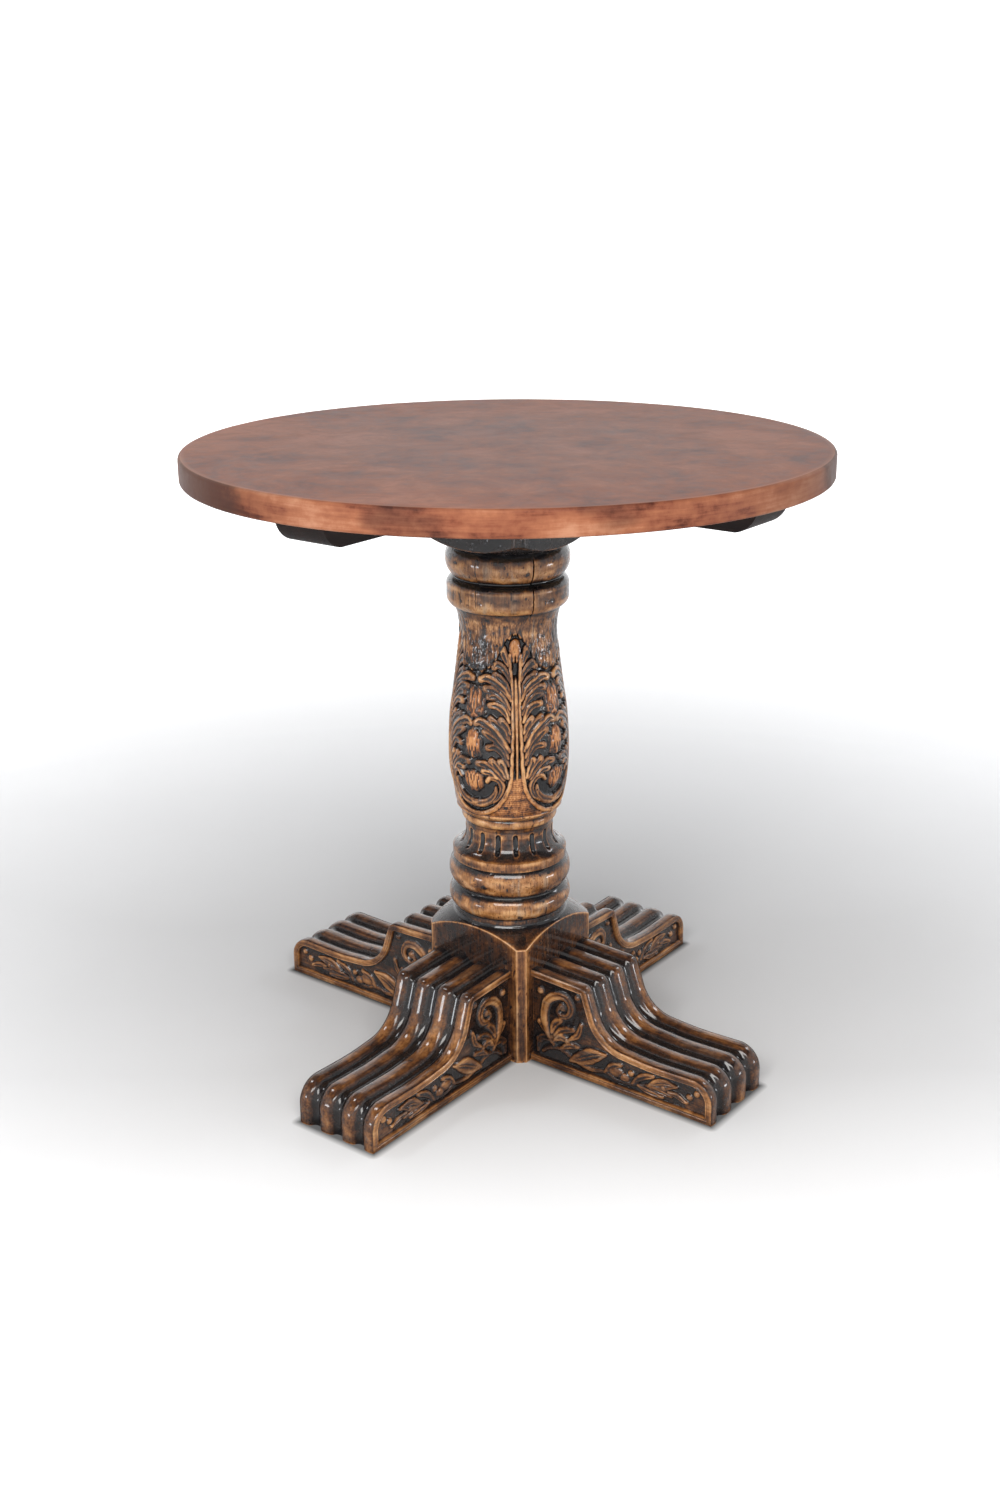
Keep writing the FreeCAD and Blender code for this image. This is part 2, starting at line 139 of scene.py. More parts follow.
def soft_min(a, b, width):
    """Smaller of two values, rounded over a width where they cross."""
    blend = np.clip(0.5 + 0.5 * (b - a) / width, 0, 1)
    return b * (1 - blend) + a * blend - width * blend * (1 - blend) * 0.5


# ---- outlines ----
def arc_points(start, through, end, step):
    """Points after start on the arc through three points."""
    (ax, ay), (bx, by), (cx, cy) = start, through, end
    d = 2 * (ax * (by - cy) + bx * (cy - ay) + cx * (ay - by))
    a2, b2, c2 = ax * ax + ay * ay, bx * bx + by * by, cx * cx + cy * cy
    ux = (a2 * (by - cy) + b2 * (cy - ay) + c2 * (ay - by)) / d
    uy = (a2 * (cx - bx) + b2 * (ax - cx) + c2 * (bx - ax)) / d
    radius = math.hypot(ax - ux, ay - uy)
    first = math.atan2(ay - uy, ax - ux)
    turn = math.atan2(cy - uy, cx - ux) - first
    middle = (math.atan2(by - uy, bx - ux) - first) % (2 * math.pi)
    turn = turn % (2 * math.pi)
    if middle > turn:
        turn -= 2 * math.pi
    count = max(2, int(math.ceil(abs(turn) * radius / step)))
    return [(ux + radius * math.cos(first + turn * i / count),
             uy + radius * math.sin(first + turn * i / count)) for i in range(1, count + 1)]


def line_points(start, end, step):
    count = max(1, int(math.ceil(math.dist(start, end) / step)))
    return [(start[0] + (end[0] - start[0]) * i / count,
             start[1] + (end[1] - start[1]) * i / count) for i in range(1, count + 1)]


def spline_points(points, count):
    """Smooth curve through points of any size, count steps between each two."""
    p = np.array(points, float)
    p = np.vstack([2 * p[0] - p[1], p, 2 * p[-1] - p[-2]])
    t = np.linspace(0, 1, count, endpoint=False)[:, None]
    runs = []
    for a, b, c, d in zip(p[:-3], p[1:-2], p[2:-1], p[3:]):
        runs.append(0.5 * (2 * b + (c - a) * t + (2 * a - 5 * b + 4 * c - d) * t ** 2
                           + (3 * b - a - 3 * c + d) * t ** 3))
    return np.vstack(runs + [p[-2:-1]])


def turning_rows(block_step, turned_step, carved_step):
    """(radius, height) of every ring of the post, from the floor up."""
    rows = [(TURNING_LIMIT, 0.0)]

    def follow(steps):
        for step in steps:
            spacing = block_step if step[0] == TURNING_LIMIT else turned_step
            if len(step) == 2:
                rows.extend(line_points(rows[-1], step, spacing))
            else:
                rows.extend(arc_points(rows[-1], step[:2], step[2:], spacing))

    follow(LOWER_TURNING)
    curve = spline_points([rows[-1]] + VASE, 40)
    length = np.concatenate([[0], np.cumsum(np.hypot(*np.diff(curve, axis=0).T))])
    even = np.linspace(0, length[-1], int(length[-1] / carved_step))[1:]
    rows += list(zip(*(np.interp(even, length, side) for side in curve.T)))
    follow(UPPER_TURNING)
    return np.array(rows, float)


def bent_line(corners, step):
    """Points of straight runs joined by tangent arcs, with the outward normal at each."""
    points, normals = [], []
    here = np.array(corners[0][:2], float)

    def run_to(end):
        direction = (end - here) / np.linalg.norm(end - here)
        count = max(2, int(round(np.linalg.norm(end - here) / step)))
        for i in range(count):
            points.append(here + (end - here) * i / count)
            normals.append(np.array([-direction[1], direction[0]]))

    for i in range(1, len(corners)):
        corner = np.array(corners[i][:2], float)
        bend = corners[i][2]
        if bend == 0:
            run_to(corner)
            points.append(corner)
            normals.append(normals[-1])
            continue
        come = corner - np.array(corners[i - 1][:2])
        come /= np.linalg.norm(come)
        go = np.array(corners[i + 1][:2]) - corner
        go /= np.linalg.norm(go)
        side = come[0] * go[1] - come[1] * go[0]
        turn = math.atan2(side, float(come @ go))
        reach = bend * math.tan(abs(turn) / 2)
        start = corner - come * reach
        run_to(start)
        left = np.array([-come[1], come[0]])
        centre = start + left * bend * math.copysign(1, turn)
        count = max(4, int(round(abs(turn) * bend / step)))
        for k in range(count):
            a = turn * k / count
            normal = left * math.cos(a) - come * math.sin(a)
            points.append(centre - normal * bend * math.copysign(1, turn))
            normals.append(normal)
        here = corner + go * reach
    return np.array(points), np.array(normals)


# ---- carving ----
def lay_stroke(height, x, z, points, top=0.0, drop=1.2, scoop=0.0, lean=0.5, fall=2.2, widen=1.0):
    """Raises a ridge along (x, z, half width) points, where it is higher than what is there.

    drop is how much lower the ridge's edges are than its crest. scoop hollows the ridge out like a
    gouged leaflet, with the hollow moved off centre by lean. fall is the slope of its walls.
    """
    path = spline_points(points, 6)
    path[:, 2] *= widen
    reach = path[:, 2].max() + 3.5
    near = ((x > path[:, 0].min() - reach) & (x < path[:, 0].max() + reach)
            & (z > path[:, 1].min() - reach) & (z < path[:, 1].max() + reach))
    px, pz = x[near], z[near]
    best = np.full(px.shape, 1e9)
    side = np.zeros(px.shape)
    half = np.ones(px.shape)
    along = np.zeros(px.shape)
    for k, (a, b) in enumerate(zip(path[:-1], path[1:])):
        dx, dz = b[0] - a[0], b[1] - a[1]
        length = math.hypot(dx, dz)
        if length < 1e-9:
            continue
        t = np.clip(((px - a[0]) * dx + (pz - a[1]) * dz) / length ** 2, 0, 1)
        ox, oz = px - a[0] - t * dx, pz - a[1] - t * dz
        distance = np.hypot(ox, oz)
        closer = distance < best
        best = np.where(closer, distance, best)
        side = np.where(closer, (dx * oz - dz * ox) / length, side)
        half = np.where(closer, a[2] + (b[2] - a[2]) * t, half)
        along = np.where(closer, (k + t) / (len(path) - 1), along)
    q = best / half
    shape = top - drop * np.minimum(q, 1) ** 2
    if scoop:
        across = np.clip(side / half, -1, 1)
        hollow = np.exp(-((across + 0.28 * lean) / 0.42) ** 2) * smooth_step(0.08, 0.4, along)
        shape -= scoop * hollow * smooth_step(1.0, 0.86, along + 0.15 * q)
        shape += 0.35 * scoop * lean * across
    shape -= fall * np.maximum(best - half, 0)
    height[near] = np.maximum(height[near], shape)


def lay_boss(height, x, z, centre, radii, top, drop, rough=0.0):
    """Raises an oval dome, cut over with short upright gouge marks if rough."""
    q2 = ((x - centre[0]) / radii[0]) ** 2 + ((z - centre[1]) / radii[1]) ** 2
    if rough:
        q2 = q2 * (1 + 0.45 * noise(x / 6.5, z / 6.5, 90))
    shape = top - drop * np.minimum(q2, 1) - 2.2 * np.maximum(np.sqrt(q2) - 1, 0) * min(radii)
    if rough:
        marks = noise(x / 2.3, z / 7.5, 91)
        shape -= rough * smooth_step(-0.1, 0.5, marks) + 0.3 * rough * noise(x / 5, z / 4, 92)
    np.maximum(height, shape, out=height)


# One half of an acanthus leaf: x is the distance round the vase from the leaf's stem, z the height.
# A stroke is a list of (x, z, half width).
SEAM = 57.3                        # x where two leaves meet
LEAF_RIBS = [
    ([(8.2, 521, 2.2), (6.6, 503, 2.1), (4.8, 482, 1.8), (4.4, 455, 1.7), (5.2, 420, 1.9),
      (6.6, 384, 2.1), (9, 363, 2.3), (13, 350, 2.5), (19.5, 339, 2.6), (29, 329, 2.7),
      (42, 321.8, 2.7), (SEAM, 319, 2.7)], dict(drop=0.9)),
    ([(0, 494, 1), (0, 480, 2.6), (0, 455, 2.8), (0, 430, 1.6), (0, 400, 1.3), (0, 368, 0.9)],
     dict(top=-0.1, drop=0.8)),
    ([(0, 517, 6), (0, 526, 9), (0, 532, 8.2)], dict(drop=2.2))]
LEAFLETS = [
    [(9.5, 509, 1.5), (14, 518, 2.6), (18.5, 527, 3.4)],
    [(6.5, 488, 1.5), (10.5, 497, 2.2), (17.5, 505.5, 2.9), (25, 509.5, 3.2), (30, 506.5, 2.8)],
    [(8, 475, 1.4), (12.5, 484, 2.2), (19.5, 491, 2.9), (29, 496, 2.9)],
    [(6.5, 466, 1.4), (15, 478.5, 2.3), (27, 486.5, 3), (40, 491.5, 3.3), (50, 489.5, 2.8)],
    [(8, 456, 1.4), (18, 469.5, 2.3), (31, 477.5, 3), (42, 478, 2.8)],
    [(8.5, 449, 1.3), (15.5, 460, 2), (26, 468.5, 2.7), (37, 469.5, 2.5)],
    [(9, 440, 1.3), (14.5, 451, 2.1), (23, 458.5, 2.7), (34, 459, 2.5)],
    [(8.5, 426, 1.4), (13, 434.5, 2.3), (19.5, 441.5, 2.8)],
    [(9, 417, 1.4), (15, 427, 2.3), (23.5, 435.5, 2.9), (33.5, 442, 2.8)],
    [(9.5, 405, 1.5), (17, 416.5, 2.4), (26.5, 427, 3), (37, 434.5, 3.2), (47, 438.5, 3),
     (54, 435.5, 2.4)],
    [(10.5, 396, 1.4), (17.5, 408.5, 2.2), (28.5, 419.5, 2.8), (40, 426, 2.7)],
    [(10.5, 387, 1.4), (17, 400, 2.1), (26, 408.5, 2.7), (36, 407.5, 2.5)],
    [(11.5, 371, 1.4), (16, 382, 2.3), (20.5, 391, 2.8)],
    [(14, 371, 1.4), (21.5, 380, 2.4), (31, 391, 2.9)],
    [(17, 368, 1.4), (26, 377, 2.4), (38, 385.5, 3.1), (50, 386, 2.6)],
    [(25, 371, 1.4), (33, 376.5, 2.2), (42, 377, 2.2)],
]
SCROLL = [(37.5, 364.5, 1.8), (32.5, 370, 2.6), (25, 369.5, 3.1), (19.6, 362.5, 3.1),
          (19, 353.5, 2.8), (23, 345, 2.4), (31, 338, 1.8)]
CRESCENT = [(26, 358.5, 1.2), (27.2, 350.5, 2.9), (33.5, 341, 4.2), (44, 334.8, 4.6),
            (SEAM, 332.8, 4.4)]
OVALS = [((SEAM, 461.5), (17, 20)), ((SEAM, 410), (13, 20)), ((SEAM, 362.5), (15, 14))]
NECK_EDGE = [(0, 546.5), (5, 545.5), (10, 541), (17, 531), (25, 519), (36, 507),
             (48, 500.5), (SEAM, 499)]
VASE_GROUND = -5.0
BELL_LEVEL = -1.7
RIB_WALL = 2.8                     # slope of the walls of ribs and leaflets


def neck_edge(x):
    """Height above which the vase is left uncarved, at distance x from a leaf's stem."""
    return np.interp(x, *np.transpose(NECK_EDGE))


def bell_share(x, z):
    """1 on the smooth bell below the outer ribs, 0 on the leaf."""
    rib = spline_points(LEAF_RIBS[0][0], 10)
    low = rib[rib[:, 1] < 378]
    low = low[np.argsort(low[:, 0])]
    return smooth_step(1.0, -1.0, z - np.interp(x, low[:, 0], low[:, 1])) * smooth_step(376, 366, z)


def leaf_relief(x, z):
    """Depth of the carving at distance x from a leaf's stem and height z, 0 on the turned surface."""
    ragged = 2.6 * noise(x / 1.7, z / 11, 93) + 1.6 * noise(x / 4.5, z / 20, 94)
    ground = VASE_GROUND * smooth_step(2.4, -2.6, z - neck_edge(x) + ragged)
    bell = bell_share(x, z)
    height = ground * (1 - bell) + BELL_LEVEL * bell
    height -= 0.22 * bell * (0.5 + 0.5 * np.sin(z * 2.3 + noise(x / 6, z / 6, 95)))
    for centre, radii in OVALS:
        lay_boss(height, x, z, centre, radii, top=-0.2, drop=2.6, rough=0.9)
    for number, points in enumerate(LEAFLETS):
        crest = -0.15 - 0.30 * (number % 3)
        lay_stroke(height, x, z, points, top=crest, drop=1.0, scoop=1.45, fall=RIB_WALL, widen=1.62)
    lay_stroke(height, x, z, SCROLL, top=-0.2, drop=1.0, scoop=0.9, lean=-0.4, widen=1.15)
    lay_stroke(height, x, z, CRESCENT, top=-0.1, drop=1.4, scoop=0.8, lean=-0.5, widen=1.1)
    for points, looks in LEAF_RIBS:
        lay_stroke(height, x, z, points, fall=RIB_WALL, **looks)
    groove = 3.2 * np.exp(-(x / (0.7 + 0.06 * np.clip(522 - z, 0, 30))) ** 2)
    height -= groove * plateau(z, 489, 496, 518, 524)
    return np.clip(height, VASE_GROUND - 0.8, 0.0)


# ---- mesh making ----
def grid_quads(rows, columns, closed=False, flip=False, first=0):
    """Quads between the points of a grid, numbered row by row from first."""
    across = columns if closed else columns - 1
    i, j = np.meshgrid(np.arange(rows - 1), np.arange(across), indexing="ij")
    here, beside = i * columns + j, i * columns + (j + 1) % columns
    quads = np.stack([here, beside, beside + columns, here + columns], -1).reshape(-1, 4)
    return ((quads[:, ::-1] if flip else quads) + first).tolist()


def ring(row, columns):
    """Numbers of the points in one row of a grid."""
    return list(range(row * columns, (row + 1) * columns))


def weld(points, faces, tolerance=0.004):
    """Joins points closer than a tolerance and drops faces that vanish. Also tells which it keeps."""
    key = np.round(points / tolerance).astype(np.int64)
    _, keep, where = np.unique(key, axis=0, return_index=True, return_inverse=True)
    where = where.reshape(-1)
    joined = []
    for face in faces:
        face = where[face].tolist()
        face = [v for n, v in enumerate(face) if v != face[n - 1]]
        if len(set(face)) > 2:
            joined.append(face)
    return points[keep], joined, keep


def put(name, data):
    """A new object in the scene."""
    holder = bpy.data.objects.new(name, data)
    bpy.context.scene.collection.objects.link(holder)
    return holder


def make_mesh(name, points, faces, sharp_angle=45):
    mesh = bpy.data.meshes.new(name)
    mesh.from_pydata((np.asarray(points) * MM).tolist(), [], faces)
    mesh.validate()
    mesh.update()
    mesh.shade_smooth()
    mesh.set_sharp_from_angle(angle=math.radians(sharp_angle))
    return put(name, mesh)


def store(piece, name, values):
    """Keeps a number or a vector for each point, for the material to read."""
    values = np.asarray(values, np.float32)
    kind, key = ("FLOAT", "value") if values.ndim == 1 else ("FLOAT_VECTOR", "vector")
    piece.data.attributes.new(name, kind, "POINT").data.foreach_set(key, values.ravel())


def read_rows(items, name, width, kind=np.float32):
    """A property of every point or edge of a mesh, one row each."""
    values = np.zeros(len(items) * width, kind)
    items.foreach_get(name, values)
    return values.reshape(-1, width)


def relief_of(mesh, passes):
    """How far each point stands above its smoothed surroundings, in mm, for each number of passes."""
    count = len(mesh.vertices)
    start = read_rows(mesh.vertices, "co", 3).astype(float) / MM
    normals = read_rows(mesh.vertex_normals, "vector", 3)
    a, b = read_rows(mesh.edges, "vertices", 2, np.int32).T
    ends, others = np.concatenate([a, b]), np.concatenate([b, a])
    degree = np.maximum(np.bincount(ends, minlength=count), 1)[:, None]
    here = start.copy()
    result = []
    for done in range(1, max(passes) + 1):
        around = np.stack([np.bincount(ends, here[others, axis], count) for axis in range(3)], 1)
        here = 0.4 * here + 0.6 * around / degree
        if done in passes:
            result.append(((start - here) * normals).sum(1))
    return result


# ---- post ----
POST_COLUMNS = 576
FINE_RELIEF = 0.12                 # height of small ridges that shows fully in the stain, mm
CAMERA_SIDE = -52.35               # direction of the camera round the post, degrees
# Drying checks: direction, lower and upper end, half width, depth.
CHECKS = [(CAMERA_SIDE + 23.5, 560.0, 648.0, 0.55, 2.6), (CAMERA_SIDE - 31.0, 574.0, 640.0, 0.35, 1.2),
          (CAMERA_SIDE + 128.0, 566.0, 640.0, 0.5, 2.0), (CAMERA_SIDE + 204.0, 184.0, 243.0, 0.45, 1.8),
          (CAMERA_SIDE + 9.0, 660.0, 703.0, 0.4, 1.5)]
VASE_CARVED = (314, 556)           # heights between which the vase is carved
# tone by depth in the carving, dark in its hollows: stain and painted shade
STAIN_AND_SHADE_DEPTHS = [-5.5, -3.8, -2.6, -1.6, -0.9, -0.3, 0]
STAIN_AND_SHADE_TONES = [0.0, 0.02, 0.14, 0.31, 0.46, 0.59, 0.66]


def post_angles():
    """Directions of the columns, moved a little so that the block's edges fall on columns."""
    angles = np.arange(POST_COLUMNS) * 360.0 / POST_COLUMNS
    edge = math.degrees(math.atan2(BLOCK_HALF - BLOCK_CHAMFER, BLOCK_HALF))
    for quarter in range(4):
        for corner in (edge, 90 - edge):
            target = quarter * 90 + corner
            angles[np.argmin(np.abs(angles - target))] = target
    return np.radians(angles)


def block_radius(angle):
    """Distance from the axis to the chamfered square block in a direction."""
    c, s = np.abs(np.cos(angle)), np.abs(np.sin(angle))
    return np.minimum(BLOCK_HALF / np.maximum(c, s), (2 * BLOCK_HALF - BLOCK_CHAMFER) / (c + s))


def make_post():
    rows = turning_rows(block_step=3.5, turned_step=1.05, carved_step=0.85)
    angle, radius = (side.ravel() for side in np.meshgrid(post_angles(), rows[:, 0]))
    height = np.repeat(rows[:, 1], POST_COLUMNS)

    def around(cells, spacing, seed):
        """Noise with a number of cells round the post and a spacing along it."""
        return noise(angle / FULL_TURN * cells, height / spacing, seed, cells)

    in_block = (height < BASE_BLOCK_TOP) | (height > TOP_BLOCK_BOTTOM)
    square = block_radius(angle)
    radius = np.where(in_block, soft_min(radius, square, 1.6), radius)
    edge_wear = 0.35 * np.clip(noise(height / 45, angle * 3, 5), 0, 1)
    radius -= edge_wear * np.exp(-((square - 101.0) / 2.2) ** 2) * in_block

    # slots round the hollow
    off = from_nearest(angle, FULL_TURN / SLOT_COUNT) * radius
    middle = (SLOT_LOW + SLOT_HIGH) / 2
    straight = (SLOT_HIGH - SLOT_LOW) / 2 - SLOT_HALF_WIDTH
    inside = np.hypot(off, np.maximum(np.abs(height - middle) - straight, 0)) - SLOT_HALF_WIDTH
    share = (height - SLOT_LOW) / (SLOT_HIGH - SLOT_LOW)
    floor = SLOT_FLOOR_LOW + (SLOT_FLOOR_HIGH - SLOT_FLOOR_LOW) * share
    in_slot = smooth_step(0.45, -0.45, inside)
    gouge = np.sqrt(np.clip(-inside / SLOT_HALF_WIDTH, 0, 1))
    radius = radius - np.maximum(radius - floor, 0) * gouge * in_slot

    # leaves on the vase, a little uneven as cut by hand
    vase = (height > VASE_CARVED[0]) & (height < VASE_CARVED[1])
    quarter = math.pi / 2
    x = np.abs((angle % quarter) - quarter / 2) / (quarter / 2) * SEAM
    wobble_x = 0.55 * around(64, 9, 21) + 0.25 * around(128, 4, 22)
    wobble_z = 0.7 * around(64, 9, 23) + 0.9 * noise(np.floor(angle / quarter) * 3.7, height / 40, 24)
    relief = np.zeros_like(radius)
    relief[vase] = leaf_relief((x + wobble_x * smooth_step(0, 6, x) * smooth_step(SEAM, 52, x))[vase],
                               (height + wobble_z)[vase])
    tooling = 0.16 * around(320, 1.6, 25) + 0.12 * around(192, 3.5, 26)
    carved = smooth_step(-0.6, -2.2, relief)
    radius += relief * smooth_step(314.5, 318, height) + tooling * carved

    # drying checks, scars and the turner's slight unevenness
    for direction, low, high, half, depth in CHECKS:
        away = from_nearest(angle - math.radians(direction), FULL_TURN) * radius
        wander = (0.8 * noise(height / 14, 0 * height, int(abs(direction)))
                  + 0.3 * noise(height / 3, 0 * height, 9))
        gap = np.abs(away + wander) / half
        radius -= depth * plateau(height, low, low + 9, high - 9, high) * np.clip(1 - gap / 1.6, 0, 1)
    radius += 0.15 * around(64, 22, 31) * ~in_block
    rough_neck = plateau(height, 488, 500, 558, 566) * (1 - carved)
    radius += rough_neck * (0.34 * around(192, 7, 33) + 0.22 * around(384, 2.5, 34))
    radius -= 0.35 * smooth_step(0.72, 0.95, around(256, 3, 32)) * (1 - in_slot)

    points = np.stack([radius * np.cos(angle), radius * np.sin(angle), height], 1)
    faces = grid_quads(len(rows), POST_COLUMNS, closed=True)
    faces += [ring(0, POST_COLUMNS)[::-1], ring(len(rows) - 1, POST_COLUMNS)]
    piece = make_mesh("carved_post", points, faces, sharp_angle=60)

    # stain and painted shade: dark in hollows and on ledges, rubbed off on crests
    fine, broad, wide = relief_of(piece.data, (3, 36, 110))
    ridges = np.clip(fine / FINE_RELIEF, -1, 1)
    upward = read_rows(piece.data.vertex_normals, "vector", 3)[:, 2].astype(float)
    on_bell = bell_share(x, height)
    carved_zone = smooth_step(0.15, 0.7, -relief) * (1 - on_bell)
    ledge_stain_and_shade = np.where(((height > 257) & (height < 312)) | (height < 171), 0.35, 1.0)
    tone = 0.54 + 0.10 * ridges + 0.30 * np.clip(broad, -1.5, 0.4)
    tone += 0.20 * around(40, 5, 100) * ~in_block
    tone += 0.13 * around(9, 60, 101)
    # darker in wide creases and on upward faces: stain, and painted shade
    tone += 0.16 * np.clip(wide / 1.6, -2, 0.6) - 0.50 * smooth_step(0.30, 0.80, upward) * ledge_stain_and_shade
    # painted shadow of the tabletop: the upper rings darker on their upward faces
    tone -= 0.45 * smooth_step(-0.05, 0.5, upward) * smooth_step(566, 572, height)
    by_depth = np.interp(relief, STAIN_AND_SHADE_DEPTHS, STAIN_AND_SHADE_TONES)
    tone += carved_zone * (by_depth + 0.18 * ridges + 0.08 * np.clip(broad, -1, 1) - tone)

    # brighter and warmer: the ovals, the bell under the leaf and the leaf's tip
    on_oval = np.zeros_like(tone)
    for (cx, cz), (rx, rz) in OVALS:
        away = np.hypot((x - cx) / rx, (height - cz) / rz)
        on_oval = np.maximum(on_oval, smooth_step(1.05, 0.8, away))
    tone += 0.26 * on_oval * smooth_step(-3.4, -2.0, relief)
    bell = on_bell * smooth_step(314, 318, height)
    tone += 0.12 * bell
    tip = smooth_step(10, 7, x) * smooth_step(514, 519, height) * (height < 545)
    warmth = np.maximum(np.clip(on_oval * smooth_step(-3.6, -2.4, relief), 0, 1), 0.8 * bell)
    warmth = np.maximum(warmth, tip)

    # uncarved neck with a dark fringe over the leaf, then pits, slots, tip and blocks
    above = height - neck_edge(x)
    neck = smooth_step(-1, 3, above) * smooth_step(563, 556, height) * (height > 490)
    tone += neck * (0.36 * around(12, 30, 97) - 0.24 * smooth_step(0.1, 0.7, around(150, 34, 96)))
    tone -= 0.70 * neck * smooth_step(10, 0, above + 6 * around(180, 14, 98))
    tone -= 0.45 * smooth_step(0.72, 0.92, around(130, 7.5, 99)) * (1 - carved_zone)
    # slots: dark round their edge as stain and painted shade, lighter on the gouge's floor as a painted
    # highlight
    tone -= 0.9 * smooth_step(0.25, 0.9, in_slot) * (1 - 0.75 * smooth_step(0.55, 0.9, gouge))
    tone += 0.28 * smooth_step(11, 6, x) * plateau(height, 517, 522, 540, 545) * (relief > -3)
    chamfer = np.abs(from_nearest(angle, math.pi / 2)) > math.radians(41.6)
    tone += in_block * (0.30 * np.clip(ridges, 0, 1) - 0.15 - 0.05 * chamfer) * (height < 400)
    # painted shadow: the top block, under the tabletop, much darker
    tone -= 0.45 * smooth_step(643, 650, height)
    warmth = np.maximum(warmth, 0.3 * in_block * chamfer)
    finish_carved(piece, tone, warmth, points / GRAIN_UNIT, "pedestal_post")


# ---- feet ----
# Carving of a foot's side: x is the reach from the post's axis and z the height.
STEM = [(92, 17, 2), (103, 25, 2.8), (120, 28, 2.8), (140, 20, 2.6), (163, 15.5, 2.6), (186, 19, 2.4),
        (204, 14.5, 2.2), (228, 17, 2.2), (246, 22, 1.8)]
VOLUTE = [(109, 32, 2.6), (99, 46, 4), (94, 66, 4.8), (97, 86, 5), (109, 98, 5), (123, 101, 4.8),
          (132, 95, 4.4), (134, 85, 3.9), (129, 76.5, 3.4), (120, 74, 2.9), (114, 79, 2.5),
          (117, 85, 2.4)]
PANEL_LEAFLETS = [
    [(108, 36, 2.4), (97, 38, 4.6), (85, 32, 3.2)],
    [(108, 41, 2.4), (97, 48, 4.4), (87, 57, 3)],
    [(110, 38, 2.4), (119, 45, 4.6), (130, 43, 3.4)],
    [(110, 44, 2.4), (122, 55, 4.4), (138, 60, 3)],
    [(106, 48, 2.2), (110, 60, 4.2), (119, 68, 3)],
    [(121, 30, 2.2), (132, 37, 4), (145, 39, 2.4)],
    [(134, 46, 2), (145, 56, 3.6), (150, 71, 2.2)],
    [(85, 16, 2.2), (86, 26, 3.2), (90, 34, 2.2)],
    [(186, 20, 2), (195, 30, 3.8), (208, 36, 2.4)],
    [(226, 18, 2), (238, 30, 4.2), (254, 37, 2.4)],
    [(234, 18, 2), (250, 14.5, 3.4), (268, 14, 2)],
    [(246, 22, 2), (262, 20, 3.4), (280, 19, 2)],
    [(276, 24, 1.8), (289, 22, 3.2), (301, 18, 1.8)]]
ALMONDS = [
    [(134, 18, 1.5), (150, 26, 8.4), (167, 35, 9), (186, 42, 1.5)],
    [(248, 22, 1.4), (260, 28, 6.6), (272, 32, 6.2), (288, 34, 1.2)]]
BUDS = [((201, 25), (10.5, 6.5)), ((214, 21), (7, 5.6)), ((223, 30), (4, 4)), ((270, 27), (4.4, 4)),
        ((121, 86), (5.2, 5)), ((305, 27), (4, 3.8)), ((315, 34), (4, 3.8)), ((130, 43), (4, 4)),
        ((89, 31), (3.8, 3.6)), ((88, 100), (4.2, 4)), ((143, 106), (3.6, 3.4))]
CREST_STEP = 1.35
TOP_ROWS_ACROSS = 101
BORDER_ROWS = [0.88, 1.7, 3.0, 4.4, 5.6, 6.3, 6.9, 7.4, 8.0, 8.8, 9.4, 9.8, 10.2]
INNER_ROWS = 60


def panel_relief(x, z):
    """Height of the carving above the sunk ground of a foot's side."""
    height = np.zeros_like(x)
    lay_stroke(height, x, z, STEM, top=2.6, drop=1.3, scoop=0.6, lean=0.3, fall=1.8)
    for number, points in enumerate(PANEL_LEAFLETS):
        lay_stroke(height, x, z, points, top=3.5 - 0.4 * (number % 2), drop=1.0, scoop=1.5, fall=2.0)
    lay_stroke(height, x, z, VOLUTE, top=3.7, drop=1.2, scoop=1.3, lean=-0.6, fall=2.2)
    for points in ALMONDS:
        lay_stroke(height, x, z, points, top=3.5, drop=0.6, scoop=1.8, lean=0.2, fall=2.4)
        lay_stroke(height, x, z, [(a, b, 0.9) for a, b, _ in points], top=3.2, drop=0.6, fall=1.6)
    for centre, radii in BUDS:
        lay_boss(height, x, z, centre, radii, top=3.7, drop=1.8)
    return np.clip(height, 0, 3.9)


def arris_depth(distance):
    """Depth of a rounded edge at a distance in from it."""
    drop = ARRIS - np.sqrt(np.maximum(ARRIS ** 2 - (ARRIS - distance) ** 2, 0))
    return np.where(distance < ARRIS, drop, 0)


def border_depth(d):
    """Depth of the side's border: a rounded band, a fine line, a bead, then the wall of the panel."""
    line = 0.9 * np.exp(-((d - 7.4) / 0.6) ** 2)
    wall = PANEL_GROUND * smooth_step(9.1, 10.2, d)
    return arris_depth(d) + line + wall


def flute_depth(v):
    """Depth of a foot's top below its crest line, across the foot."""
    depth = np.zeros_like(v)
    for centre in FLUTES:
        u = np.clip(np.abs(v - centre) / FLUTE_HALF_WIDTH, 0, 1)
        depth = np.maximum(depth, FLUTE_DEPTH * (1 - u ** 2.4) ** 0.8)
    for ridge, half in REEDS:
        across = np.abs(v - ridge) / half
        depth = np.where(across < 1, depth + 1.6 * across ** 2.4 * (depth < 1.7), depth)
    return depth + arris_depth(FOOT_HALF_WIDTH - np.abs(v))


